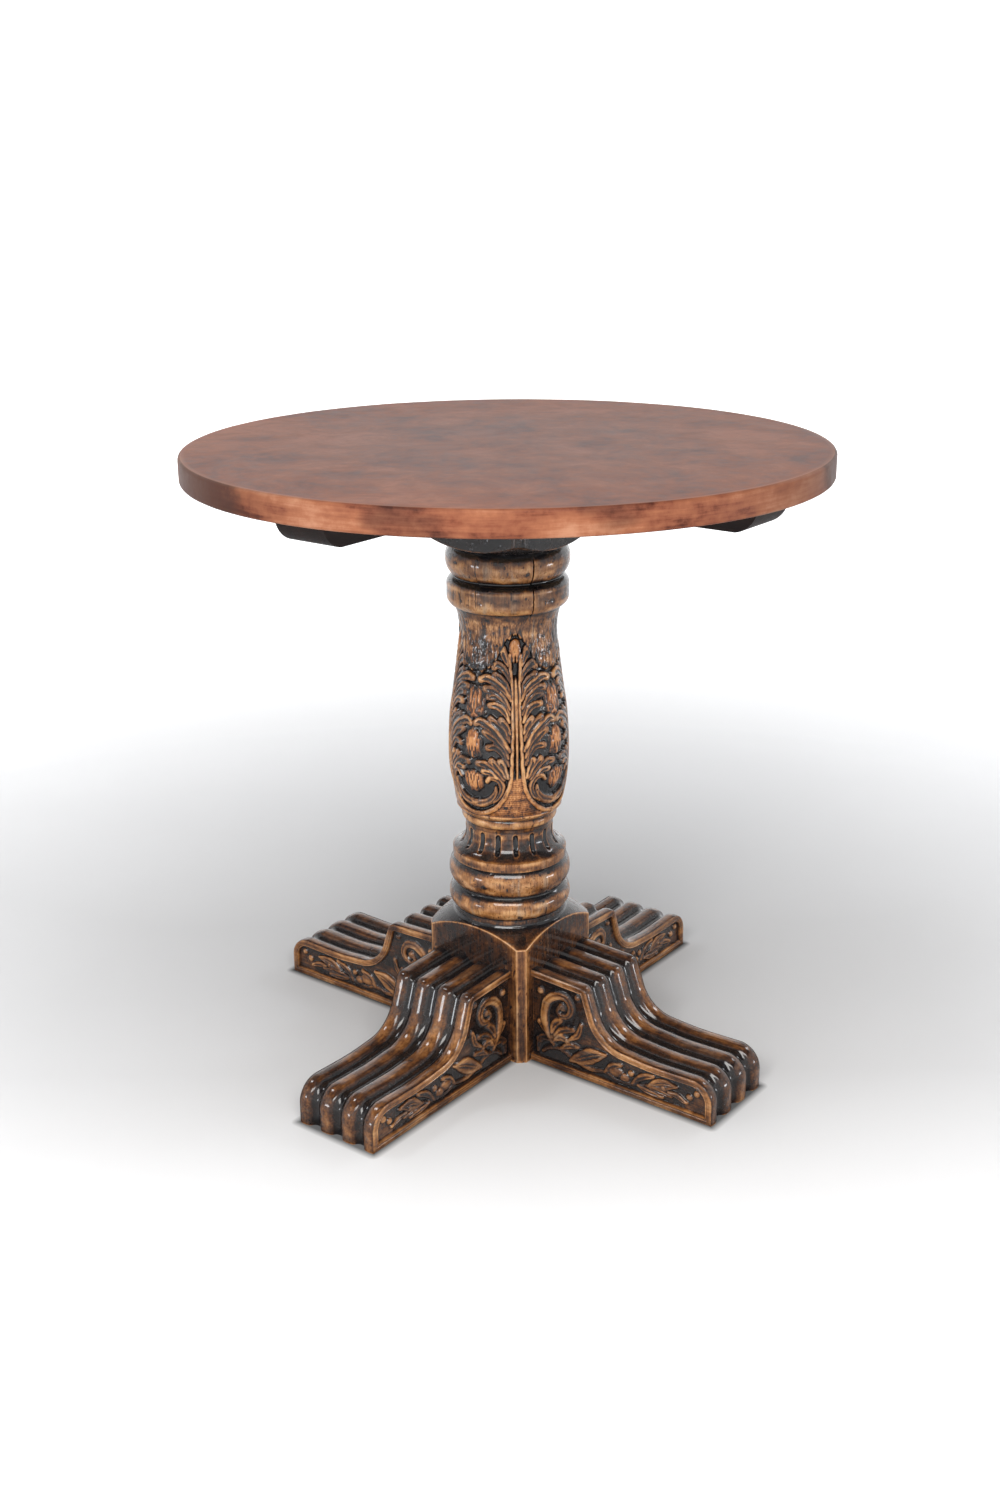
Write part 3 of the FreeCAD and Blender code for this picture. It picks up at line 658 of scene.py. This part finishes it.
def make_foot(number, name, node, turn):
    """One foot, built along +X and turned about the post."""
    crest, normal = bent_line(CREST, CREST_STEP)
    steps = len(crest)
    outer = FOOT_HALF_WIDTH - (ARRIS - ARRIS * math.sqrt(0.5))
    flat = FOOT_HALF_WIDTH - ARRIS
    v = np.linspace(-flat, flat, TOP_ROWS_ACROSS)
    v = np.concatenate([[-outer, -outer + 0.9], v, [outer - 0.9, outer]])
    depth = flute_depth(v)
    index = np.arange(steps)[:, None]
    jitter = (0.22 * noise(index / 45, v / 7 + 50 * number, 41)
              + 0.07 * noise(index / 7, v / 3, 42 + number))
    down = depth + np.abs(jitter * smooth_step(outer, outer - 5, np.abs(v)))
    top = np.stack(np.broadcast_arrays(crest[:, :1] - normal[:, :1] * down, v,
                                       crest[:, 1:] - normal[:, 1:] * down), -1)
    top[0, :, 0] = BLOCK_HALF
    top[-1, :, 2] = 0

    # side: rows follow the crest inwards, cross the panel, then follow the floor edge outwards
    first, deepest = BORDER_ROWS[0], BORDER_ROWS[-1]
    on_toe = crest[:, 0] > FOOT_REACH - 1e-6
    toe_top = crest[on_toe, 1].max()
    share = np.linspace(0, 1, steps) ** 0.9

    def crest_row(d):
        row = crest - normal * d
        lift = d - first
        row[on_toe, 1] = lift + crest[on_toe, 1] * (toe_top - lift) / toe_top
        row[0, 0] = BLOCK_HALF
        return row

    def floor_row(d):
        along = BLOCK_HALF + (FOOT_REACH - d - BLOCK_HALF) * share
        return np.stack([along, np.full(steps, d - first)], 1)

    upper, lower = crest_row(deepest), floor_row(deepest)
    inner = [k / INNER_ROWS for k in range(1, INNER_ROWS)]
    rows = np.array([crest_row(d) for d in BORDER_ROWS]
                    + [upper * (1 - t) + lower * t for t in inner]
                    + [floor_row(d) for d in BORDER_ROWS[::-1]])
    inset = np.array(BORDER_ROWS + [deepest + 1] * len(inner) + BORDER_ROWS[::-1])[:, None]
    x, z = rows[..., 0], rows[..., 1]
    relief = panel_relief(x + 0.5 * noise(x / 8, z / 8, 51 + number),
                          z + 0.5 * noise(x / 8, z / 8, 61 + number))
    on_panel = inset > deepest
    tooling = 0.18 * np.abs(noise(x / 1.8, z / 1.8, 71 + number)) + 0.15 * noise(x / 5, z / 5, 72)
    rise = np.where(on_panel, np.minimum(relief, PANEL_GROUND - 0.3) - tooling * (relief < 1), 0)
    out = FOOT_HALF_WIDTH - (border_depth(np.minimum(inset, deepest)) - rise)

    # the top's grid, then the two sides', closed by one face on the floor and one at the post
    points = np.concatenate([part.reshape(-1, 3) for part in (
        top, np.stack([x, out, z], -1), np.stack([x, -out, z], -1))])
    size, side_size = steps * len(v), steps * len(rows)
    second = size + side_size
    faces = grid_quads(steps, len(v)) + grid_quads(len(rows), steps, first=size)
    faces += grid_quads(len(rows), steps, flip=True, first=second)
    near_floor, far_floor = (list(range(end - steps, end)) for end in (second, second + side_size))
    near_heel, far_heel = (list(range(start, start + side_size, steps)) for start in (size, second))
    toe = list(range(size - len(v) + 1, size - 1))
    faces.append(near_floor + toe[::-1] + far_floor[::-1])
    faces.append(list(range(1, len(v) - 1)) + near_heel + far_heel[::-1])

    # dark in the flutes and on the panel's ground (stain), and darker on the top next to the post
    top_stain = -0.60 * smooth_step(2.0, 5.2, depth) - 0.42 * smooth_step(92, 78, crest[:, :1])
    side_stain = (on_panel * (0.065 * relief - 0.27 + 0.16 * noise(x / 16, z / 16, 73))
                  + 0.17 * noise(x / 30, z / 12, 74) - 0.06)
    stain = np.concatenate([top_stain.ravel(), np.tile(side_stain.ravel(), 2)])
    points, faces, kept = weld(points, faces)
    along, beside, up = points.T
    c, s = math.cos(math.radians(turn)), math.sin(math.radians(turn))
    turned = np.stack([along * c - beside * s, along * s + beside * c, up], 1)
    piece = make_mesh(name, turned, faces, sharp_angle=60)
    fine, broad = relief_of(piece.data, (3, 40))
    # painted shade with the stain: darker in small and broad hollows, lighter on crests
    tone = (0.63 + 0.10 * np.clip(fine / FINE_RELIEF, -1, 1) + 0.12 * np.clip(broad / 0.9, -1.0, 0.6)
            + stain[kept])
    grain = np.stack([beside + 400.0 * number, up, along], 1) / GRAIN_UNIT
    finish_carved(piece, tone, np.zeros(len(tone)), grain, node)


def finish_carved(piece, tone, warmth, grain, node):
    """Stores what the material reads. tone runs from dark (stain, with painted shade in hollows and
    under the tabletop) to rubbed bare.
    """
    store(piece, "tone", np.clip(tone, 0, 1))
    store(piece, "warmth", warmth)
    store(piece, "grain", grain)
    piece.data.materials.append(MATERIALS["carved_oak"])
    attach(piece, "root")
    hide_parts(node)


# ---- copper top ----
SHEET = 1.0
HEM_WIDTH = 16.0
TOP_ARRIS = 4.0
LOWER_ARRIS = 3.0
FACE_HOLE = 6.0                    # the face's grid starts here and one polygon closes its middle
TOP_COLUMNS = 480


def rim_arc(centre_height, bend, start, end, count):
    """Quarter round of the rim, by angle above the horizontal, without its first point."""
    angles = np.radians(np.linspace(start, end, count))[1:]
    return [(TOP_RADIUS - bend + bend * math.cos(a), centre_height + bend * math.sin(a))
            for a in angles]


def make_copper():
    """Folded sheet: face, rim and hem, then back along its inner side."""
    wall_top, wall_low = TABLE_HEIGHT - TOP_ARRIS, TOP_UNDERSIDE + LOWER_ARRIS
    hem_end = TOP_RADIUS - HEM_WIDTH
    outer = [(r, TABLE_HEIGHT) for r in np.linspace(FACE_HOLE, TOP_RADIUS - TOP_ARRIS, 62)]
    outer += rim_arc(wall_top, TOP_ARRIS, 90, 0, 7)
    outer += [(TOP_RADIUS, h) for h in np.linspace(wall_top, wall_low, 14)[1:]]
    outer += rim_arc(wall_low, LOWER_ARRIS, 0, -90, 6)
    outer += [(r, TOP_UNDERSIDE) for r in np.linspace(TOP_RADIUS - LOWER_ARRIS, hem_end, 6)[1:]]
    radius, low, high = TOP_RADIUS - SHEET, TOP_UNDERSIDE + SHEET, TABLE_HEIGHT - SHEET
    inner = [(hem_end, low), (radius - 2, low), (radius, low + 2), (radius, high - 2),
             (radius - 2, high), (FACE_HOLE, high)]
    profile = np.array(outer + inner)
    angle, radius = np.meshgrid(np.arange(TOP_COLUMNS) * 2 * math.pi / TOP_COLUMNS, profile[:, 0])
    height = np.repeat(profile[:, 1:], TOP_COLUMNS, 1)
    px, py = radius * np.cos(angle), radius * np.sin(angle)
    outside = (np.arange(len(profile)) < len(outer))[:, None] * 1.0
    dents = 0.10 * noise(px / 55, py / 55, 81) + 0.05 * noise(px / 18, py / 18, 82)
    height -= (0.12 + dents) * outside * (radius < TOP_RADIUS - 1) * (height > TABLE_HEIGHT - 2)
    turns = angle / FULL_TURN * 90
    wave = 0.16 * noise(turns, height / 30, 83, 90) + 0.10 * noise(turns * 3, height / 12, 84, 270)
    radius = radius - (0.22 + wave) * outside * smooth_step(TOP_RADIUS - 6, TOP_RADIUS - 1, radius)
    points = np.stack([radius * np.cos(angle), radius * np.sin(angle), height], -1).reshape(-1, 3)
    faces = grid_quads(len(profile), TOP_COLUMNS, closed=True, flip=True)
    faces += [ring(0, TOP_COLUMNS), ring(len(profile) - 1, TOP_COLUMNS)[::-1]]
    piece = make_mesh("copper_top", points, faces, sharp_angle=50)
    rim_share = smooth_step(TOP_RADIUS - 5.5, TOP_RADIUS - 1.5, radius) * outside
    store(piece, "rim", rim_share.ravel())
    piece.data.materials.append(MATERIALS["copper"])
    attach(piece, "root")
    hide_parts("copper_sheet")


# ---- materials ----
class Value:
    """An output of a node. Sums written with it turn into math nodes."""

    def __init__(self, paint, socket):
        self.paint, self.socket = paint, socket

    def __add__(self, other):
        return self.paint.math("ADD", self, other)

    def __sub__(self, other):
        return self.paint.math("SUBTRACT", self, other)

    def __rsub__(self, other):
        return self.paint.math("SUBTRACT", other, self)

    def __mul__(self, other):
        return self.paint.math("MULTIPLY", self, other)

    def __abs__(self):
        return self.paint.math("ABSOLUTE", self)


class Paint:
    """A material's node tree, with short calls for the nodes used here."""

    def __init__(self, name):
        self.material = bpy.data.materials.new(name)
        self.material.use_nodes = True
        self.tree = self.material.node_tree
        self.surface = self.tree.nodes["Principled BSDF"]

    def feed(self, sockets, inputs):
        """Links or sets sockets, each given by its number or its name."""
        for key, value in inputs.items():
            socket = sockets[key.replace("_", " ") if isinstance(key, str) else key]
            if isinstance(value, Value):
                self.tree.links.new(value.socket, socket)
            else:
                socket.default_value = (*value, 1.0) if socket.type == "RGBA" else value

    def add(self, kind, output, settings=None, **inputs):
        """An output of a new node."""
        node = self.tree.nodes.new(kind)
        for key, value in (settings or {}).items():
            setattr(node, key, value)
        self.feed(node.inputs, inputs)
        return Value(self, node.outputs[output])

    def attribute(self, name, output="Fac"):
        return self.add("ShaderNodeAttribute", output, {"attribute_name": name})

    def place(self):
        return self.add("ShaderNodeTexCoord", "Object")

    def scaled(self, vector, scale):
        return self.add("ShaderNodeMapping", "Vector", Vector=vector, Scale=scale)

    def noise(self, vector, scale, detail, rough, distort=0.0):
        return self.add("ShaderNodeTexNoise", "Fac", Vector=vector, Scale=scale, Detail=detail,
                        Roughness=rough, Distortion=distort)

    def stretched(self, vector, scale, detail, rough, distort=0.0):
        """Noise with a size of its own along each axis."""
        return self.noise(self.scaled(vector, scale), 1.0, detail, rough, distort)

    def math(self, operation, a, b=0.0, clamp=False):
        result = self.add("ShaderNodeMath", 0, {"operation": operation, "use_clamp": clamp})
        self.feed(result.socket.node.inputs, {0: a, 1: b})
        return result

    def vector(self, operation, a, b=(0.0, 0.0, 0.0), output="Value"):
        result = self.add("ShaderNodeVectorMath", output, {"operation": operation})
        self.feed(result.socket.node.inputs, {0: a, 1: b})
        return result

    def parts(self, vector):
        """The X, Y and Z of a vector."""
        node = self.add("ShaderNodeSeparateXYZ", 0, Vector=vector).socket.node
        return [Value(self, socket) for socket in node.outputs]

    def span(self, value, low, high, to_low=0.0, to_high=1.0):
        return self.add("ShaderNodeMapRange", "Result", {"clamp": True}, Value=value, From_Min=low,
                        From_Max=high, To_Min=to_low, To_Max=to_high)

    def ramp(self, value, stops):
        result = self.add("ShaderNodeValToRGB", "Color", Fac=value)
        elements = result.socket.node.color_ramp.elements
        while len(elements) < len(stops):
            elements.new(0.5)
        for element, (place, colour) in zip(elements, stops):
            element.position = place
            element.color = (*colour, 1.0)
        return result

    def mix(self, share, a, b, blend="MIX"):
        settings = {"data_type": "RGBA", "blend_type": blend}
        node = self.add("ShaderNodeMix", 0, settings, Factor=share).socket.node
        self.feed([socket for socket in node.inputs if socket.type == "RGBA"], {0: a, 1: b})
        return Value(self, next(socket for socket in node.outputs if socket.type == "RGBA"))

    def bump(self, height, strength, distance):
        return self.add("ShaderNodeBump", "Normal", Height=height, Strength=strength, Distance=distance)

    def finish(self, **inputs):
        """Feeds the surface's sockets and gives the material."""
        self.feed(self.surface.inputs, inputs)
        return self.material


# Colours are linear, from the lowest to the highest value of a ramp.
WARM_OAK = [(0.0, (0.005, 0.005, 0.006)), (0.26, (0.012, 0.008, 0.007)), (0.44, (0.036, 0.014, 0.007)),
            (0.60, (0.115, 0.044, 0.014)), (0.78, (0.245, 0.106, 0.036)), (1.0, (0.40, 0.215, 0.09))]
COOL_OAK = [(0.0, (0.006, 0.006, 0.008)), (0.30, (0.015, 0.012, 0.012)), (0.50, (0.048, 0.030, 0.022)),
            (0.70, (0.125, 0.080, 0.052)), (1.0, (0.31, 0.22, 0.145))]
WARMER_OAK = (1.0, 0.80, 0.62)
PORE, SPECK = (0.02, 0.012, 0.008), (0.012, 0.008, 0.006)
# dark stain for the bearers, darkened further as painted shade under the tabletop
SHADED_DARK_OAK = [(0.3, (0.005, 0.003, 0.003)), (0.55, (0.013, 0.007, 0.006)), (0.75, (0.03, 0.015, 0.011))]
SAWN_PINE = [(0.3, (0.20, 0.12, 0.06)), (0.5, (0.33, 0.21, 0.11)), (0.7, (0.45, 0.31, 0.17))]
BEECH = [(0.3, (0.42, 0.28, 0.15)), (0.7, (0.62, 0.46, 0.28))]
COPPER_FACE = [(0.38, (0.080, 0.038, 0.034)), (0.47, (0.155, 0.071, 0.053)),
               (0.53, (0.192, 0.088, 0.061)), (0.62, (0.255, 0.130, 0.098))]
COPPER_RIM = [(0.32, (0.05, 0.014, 0.009)), (0.42, (0.155, 0.050, 0.027)),
              (0.55, (0.235, 0.088, 0.045)), (0.68, (0.32, 0.15, 0.088))]
WARMER_COPPER = (1.05, 0.86, 0.72)
# patina spots, painted shade for the rim's ends, painted highlight for the arris
PATINA, RIM_END_SHADE, ARRIS_HIGHLIGHT = (0.03, 0.015, 0.013), (0.075, 0.026, 0.014), (0.40, 0.22, 0.16)
PATINA_SPOTS = [((0.320, 0.207, 0.742), 0.19), ((-0.156, -0.346, 0.734), 0.13),
                ((-0.28, 0.255, 0.74), 0.12), ((0.02, 0.38, 0.736), 0.10)]
RIM_SHADE_LINE = (0.792, 0.611, 0.0)         # painted shade: the rim is darkened at both ends of this line, which runs to the camera's left and right
ON_PLAN = (1, 1, 0)                        # scale that flattens a place onto the floor


def carved_oak():
    """Antiqued oak: near-black in the recesses (stain and painted shade), tan where it is rubbed
    through, lacquered.
    """
    p = Paint("carved_oak")
    grain, tone, warmth = p.attribute("grain", "Vector"), p.attribute("tone"), p.attribute("warmth")
    fibre = p.stretched(grain, (34, 34, 2.6), 4.0, 0.62)
    streak = p.stretched(grain, (9, 9, 0.8), 3.0, 0.5, 0.6)
    blotch = p.noise(grain, 2.6, 4.0, 0.6)
    mottle = p.noise(grain, 11.0, 5.0, 0.7)
    pores = p.span(p.stretched(grain, (60, 60, 5.0), 2.0, 0.5), 0.60, 0.70)
    specks = p.span(p.noise(grain, 42.0, 2.0, 0.5), 0.63, 0.72)

    wear = tone + (fibre - 0.5) * 0.50 + (blotch - 0.5) * 0.60
    wear = p.math("ADD", wear, (mottle - 0.5) * 0.55, clamp=True)
    cool_share = p.span(streak, 0.54, 0.72, 0.0, 0.8) * (1.0 - warmth)
    colour = p.mix(cool_share, p.ramp(wear, WARM_OAK), p.ramp(wear, COOL_OAK))
    colour = p.mix(warmth * 0.8, colour, WARMER_OAK, "MULTIPLY")
    colour = p.mix(pores * 0.55, colour, PORE)
    colour = p.mix(specks * 0.6, colour, SPECK)
    relief = fibre * 0.5 + mottle * 0.6 - (pores + specks) * 0.35
    return p.finish(Base_Color=colour, Roughness=p.span(mottle + wear * 0.6, 0.3, 1.2, 0.16, 0.44),
                    Normal=p.bump(relief, 0.45, 0.0006), Coat_Weight=0.7, Coat_Roughness=0.09,
                    IOR=1.45, Specular_IOR_Level=0.06)


def copper():
    """Aged copper: rosy grey mottled face, warmer rim with dark patina patches, painted shade at the
    rim's two ends and a painted highlight along its arris.
    """
    p = Paint("aged_copper")
    place, rim = p.place(), p.attribute("rim")
    clouds = p.noise(place, 4.0, 6.0, 0.68, 0.3)
    smears = p.noise(place, 17.0, 5.0, 0.72, 0.5)
    fine = p.noise(place, 60.0, 4.0, 0.7)
    grit = p.noise(place, 260.0, 3.0, 0.6)
    face = p.ramp(clouds * 0.65 + smears * 0.35 + (fine - 0.5) * 0.30, COPPER_FACE)
    from_axis = p.vector("LENGTH", p.scaled(place, ON_PLAN))
    face = p.mix(p.span(from_axis, 0.16, 0.37), face, WARMER_COPPER, "MULTIPLY")
    brushed = p.stretched(place, (14, 14, 220), 4.0, 0.6)
    edge = p.stretched(place, (7, 7, 14), 4.0, 0.6) + (fine - 0.5) * 0.3 + (brushed - 0.5) * 0.35
    colour = p.mix(rim, face, p.ramp(edge, COPPER_RIM))
    patina = p.span(p.noise(p.scaled(place, (2.2, 2.2, 6)), 1.7, 3.0, 0.6), 0.60, 0.72)
    blots = p.noise(place, 30.0, 4.0, 0.65)
    for spot, spread in PATINA_SPOTS:
        near = p.span(p.vector("DISTANCE", place, spot), spread * 0.3, spread, 1.0, 0.0)
        patina = p.math("MAXIMUM", patina, p.span(near + blots, 0.75, 1.05))
    colour = p.mix(patina * rim * 0.88, colour, PATINA)
    # painted shade: the rim darker at its two ends as seen from the camera
    end_shade = p.span(abs(p.vector("DOT_PRODUCT", place, RIM_SHADE_LINE)), 0.20, 0.36, 0.0, 0.62)
    colour = p.mix(end_shade * rim, colour, RIM_END_SHADE)
    # painted highlight: a light line along the rim's arris
    colour = p.mix(p.span(abs(rim - 0.45), 0.0, 0.4, 0.45, 0.0), colour, ARRIS_HIGHLIGHT)
    return p.finish(Base_Color=colour, Roughness=p.span(fine + clouds, 0.6, 1.4, 0.38, 0.58),
                    Normal=p.bump(fine * 0.7 + grit * 0.25, 0.25, 0.0006),
                    Metallic=p.span(rim, 0.0, 1.0, 0.2, 0.03), Specular_IOR_Level=0.08)


def plain_wood(name, stops, scale, rough):
    """Sawn wood with rings and pores along its grain."""
    p = Paint(name)
    place = p.scaled(p.place(), scale)
    rings = p.noise(place, 6.0, 3.0, 0.5, 1.2)
    fibre = p.noise(p.scaled(place, (12, 12, 12)), 5.0, 4.0, 0.65)
    return p.finish(Base_Color=p.ramp(rings * 0.65 + fibre * 0.35, stops),
                    Roughness=p.span(fibre, 0.3, 0.7, rough - 0.06, rough + 0.08),
                    Normal=p.bump(fibre, 0.35, 0.0005), Coat_Roughness=0.2, Specular_IOR_Level=0.1)


def worn_metal(name, dark, light, rough):
    """Dull metal with patches and fine scratches."""
    p = Paint(name)
    place = p.place()
    patches = p.noise(place, 90.0, 4.0, 0.6)
    scratches = p.stretched(place, (900, 120, 120), 3.0, 0.6)
    return p.finish(Base_Color=p.ramp(patches * 0.7 + scratches * 0.3, [(0.35, dark), (0.65, light)]),
                    Roughness=p.span(scratches, 0.3, 0.7, rough - 0.08, rough + 0.1),
                    Normal=p.bump(scratches, 0.2, 0.0002), Metallic=1.0)


MATERIALS = {
    "carved_oak": carved_oak(),
    "copper": copper(),
    "bearer_lower": plain_wood("stained_shaded_oak_x", SHADED_DARK_OAK, (1.2, 10, 10), 0.5),
    "bearer_upper": plain_wood("stained_shaded_oak_y", SHADED_DARK_OAK, (10, 1.2, 10), 0.5),
    "core": plain_wood("sawn_core", SAWN_PINE, (9, 1.0, 9), 0.6),
    "dowel": plain_wood("beech", BEECH, (4, 4, 4), 0.55),
    "steel": worn_metal("zinc_steel", (0.22, 0.22, 0.22), (0.48, 0.48, 0.47), 0.36),
    "tack": worn_metal("tack_brass", (0.20, 0.12, 0.05), (0.46, 0.31, 0.13), 0.38),
}


def dress(node, material):
    """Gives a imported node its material."""
    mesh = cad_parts[node].data
    mesh.materials.clear()
    mesh.materials.append(MATERIALS[material])


# ---- stage, light and camera ----
CAMERA_PLACE = (1.199, -1.5795, 1.0887)
CAMERA_AZIMUTH, CAMERA_PITCH, CAMERA_ROLL = (math.radians(a) for a in (37.65, 17.95, -0.53))
CAMERA_LENS, CAMERA_SENSOR = 40.68, 36.0
CAMERA_SHIFT_X, CAMERA_SHIFT_Y = 0.0027, -0.0333
STAGE_RADIUS, STAGE_SWEEP, STAGE_WALL = 5.2, 1.6, 4.5
STAGE_COLUMNS = 96
# painted shadow colours: the floor under the table and the contact shadow at the feet
FLOOR_SHADOW_TINT, SHADOW = (0.39, 0.39, 0.395), (0.01, 0.01, 0.01)
OPEN_FLOOR = [(0.3, (0.80, 0.80, 0.805)), (0.7, (0.83, 0.83, 0.835))]
COOL, COOLER = (0.92, 0.96, 1.0), (0.90, 0.95, 1.0)
# Lamps: to the right of, towards and above the photo's view of the table, aim, size, watts, colour.
LAMPS = [
    ("front", (-0.2, 2.1, 1.95), (0, 0, 0.35), (2.3, 0.8), 76, (1.0, 0.985, 0.96)),
    ("top", (0.0, 0.1, 3.0), (0, 0, 0.4), (2.0, 2.0), 7, (0.97, 0.98, 1.0)),
    ("left", (-1.87, 1.1, 0.28), (0, 0, 0.12), (0.5, 0.20), 6, COOLER),
    ("left_high", (-1.4, -0.4, 2.05), (0, -0.3, 0.05), (0.35, 0.35), 7, COOL),
    ("right", (2.15, 0.43, 0.24), (0, 0, 0.12), (0.5, 0.20), 6, COOLER),
    ("right_high", (1.55, -0.86, 1.5), (0.3, 0, 0.05), (0.35, 0.35), 5, COOL)]


def make_camera():
    camera = bpy.data.cameras.new("camera")
    camera.lens = CAMERA_LENS
    camera.sensor_fit = "VERTICAL"
    camera.sensor_height = CAMERA_SENSOR
    camera.shift_x, camera.shift_y = CAMERA_SHIFT_X, CAMERA_SHIFT_Y
    holder = put("camera", camera)
    holder.location = CAMERA_PLACE
    turns = ((CAMERA_AZIMUTH, "Z"), (math.radians(90) - CAMERA_PITCH, "X"), (CAMERA_ROLL, "Z"))
    azimuth, tilt, roll = (Matrix.Rotation(turn, 4, axis) for turn, axis in turns)
    holder.rotation_euler = (azimuth @ tilt @ roll).to_euler("XYZ")
    bpy.context.scene.camera = holder


def make_stage():
    """Pale floor that sweeps up into a backdrop all round."""
    flat_end, half_round = STAGE_RADIUS - STAGE_SWEEP, np.linspace(0, math.pi / 2, 14)[1:]
    profile = [(r, 0.0) for r in np.linspace(0.0, flat_end, 14)[1:]]
    profile += [(flat_end + STAGE_SWEEP * math.sin(a), STAGE_SWEEP - STAGE_SWEEP * math.cos(a))
                for a in half_round]
    profile.append((STAGE_RADIUS, STAGE_WALL))
    angles = np.arange(STAGE_COLUMNS) * 2 * math.pi / STAGE_COLUMNS
    points = [(r * math.cos(a), r * math.sin(a), h) for r, h in profile for a in angles]
    faces = grid_quads(len(profile), STAGE_COLUMNS, closed=True) + [ring(0, STAGE_COLUMNS)]
    floor = make_mesh("floor", np.array(points) / MM, faces)

    # painted shadow: the floor darker near the table as its soft shadow, with a narrow painted contact
    # shadow where the feet touch the floor
    p = Paint("pale_floor")
    place = p.place()
    on_plan = p.scaled(place, ON_PLAN)
    ahead = Vector((-math.sin(CAMERA_AZIMUTH), math.cos(CAMERA_AZIMUTH), 0))
    open_floor = p.ramp(p.noise(place, 3.0, 3.0, 0.5), OPEN_FLOOR)
    from_shadow_middle = p.vector("DISTANCE", on_plan, ahead * 0.3)
    colour = p.mix(p.span(from_shadow_middle, 0.15, 1.25), FLOOR_SHADOW_TINT, open_floor)
    along_x, along_y, _ = p.parts(p.vector("ABSOLUTE", place, output="Vector"))
    gaps = []
    for along, beside in ((along_x, along_y), (along_y, along_x)):
        past = p.math("MAXIMUM", along - FOOT_REACH * MM, 0.0)
        off = p.math("MAXIMUM", beside - FOOT_HALF_WIDTH * MM, 0.0)
        gaps.append(p.math("POWER", past * past + off * off, 0.5))
    # painted contact shadow round the feet' footprint
    contact_shadow = p.span(p.math("MINIMUM", *gaps), 0.0, 0.010, 0.9, 0.0)
    colour = p.mix(contact_shadow, colour, SHADOW)

    # a soft glow of its own behind, all round and in front
    behind = p.vector("DOT_PRODUCT", place, ahead)
    glow = p.span(behind, 0.3, 3.0, 0.0, 0.85) * p.span(p.parts(place)[2], 1.6, 3.6, 1.0, 0.2)
    glow = p.math("MAXIMUM", glow, p.span(p.vector("LENGTH", on_plan), 0.6, 1.6, 0.0, 0.13))
    glow = p.math("MAXIMUM", glow, p.span(behind, -0.12, -1.3, 0.0, 0.58))
    floor.data.materials.append(p.finish(Base_Color=colour, Roughness=0.85, Specular_IOR_Level=0.1,
                                         Emission_Color=(1.0, 1.0, 1.0), Emission_Strength=glow))


def make_lights():
    c, s = math.cos(CAMERA_AZIMUTH), math.sin(CAMERA_AZIMUTH)
    for name, (side, front, up), aim, size, power, colour in LAMPS:
        lamp = bpy.data.lights.new(name, "AREA")
        lamp.shape = "RECTANGLE"
        lamp.size, lamp.size_y = size
        lamp.energy = power
        lamp.color = colour
        holder = put(name, lamp)
        holder.visible_camera = False
        holder.location = (side * c + front * s, side * s - front * c, up)
        holder.rotation_euler = (Vector(aim) - holder.location).to_track_quat("-Z", "Y").to_euler()
    world = bpy.data.worlds.new("studio")
    world.use_nodes = True
    sky = world.node_tree.nodes["Background"].inputs
    sky["Color"].default_value = (0.90, 0.94, 1.0, 1.0)
    sky["Strength"].default_value = 0.12
    bpy.context.scene.world = world
    bpy.context.scene.view_settings.view_transform = "Standard"


make_camera()
make_stage()
make_lights()
make_post()
for foot_number, corner in enumerate(("front_right", "back_right", "back_left", "front_left")):
    make_foot(foot_number, "foot_" + corner, "leg_" + corner, 90.0 * foot_number)
    dress("dowels_" + corner, "dowel")
make_copper()
dress("bearer_lower", "bearer_lower")
dress("bearer_upper", "bearer_upper")
for board in range(1, 6):
    dress("core_board_%d" % board, "core")
for node in ("bearer_screws", "coach_screws", "coach_washers"):
    dress(node, "steel")
dress("sheet_tacks", "tack")
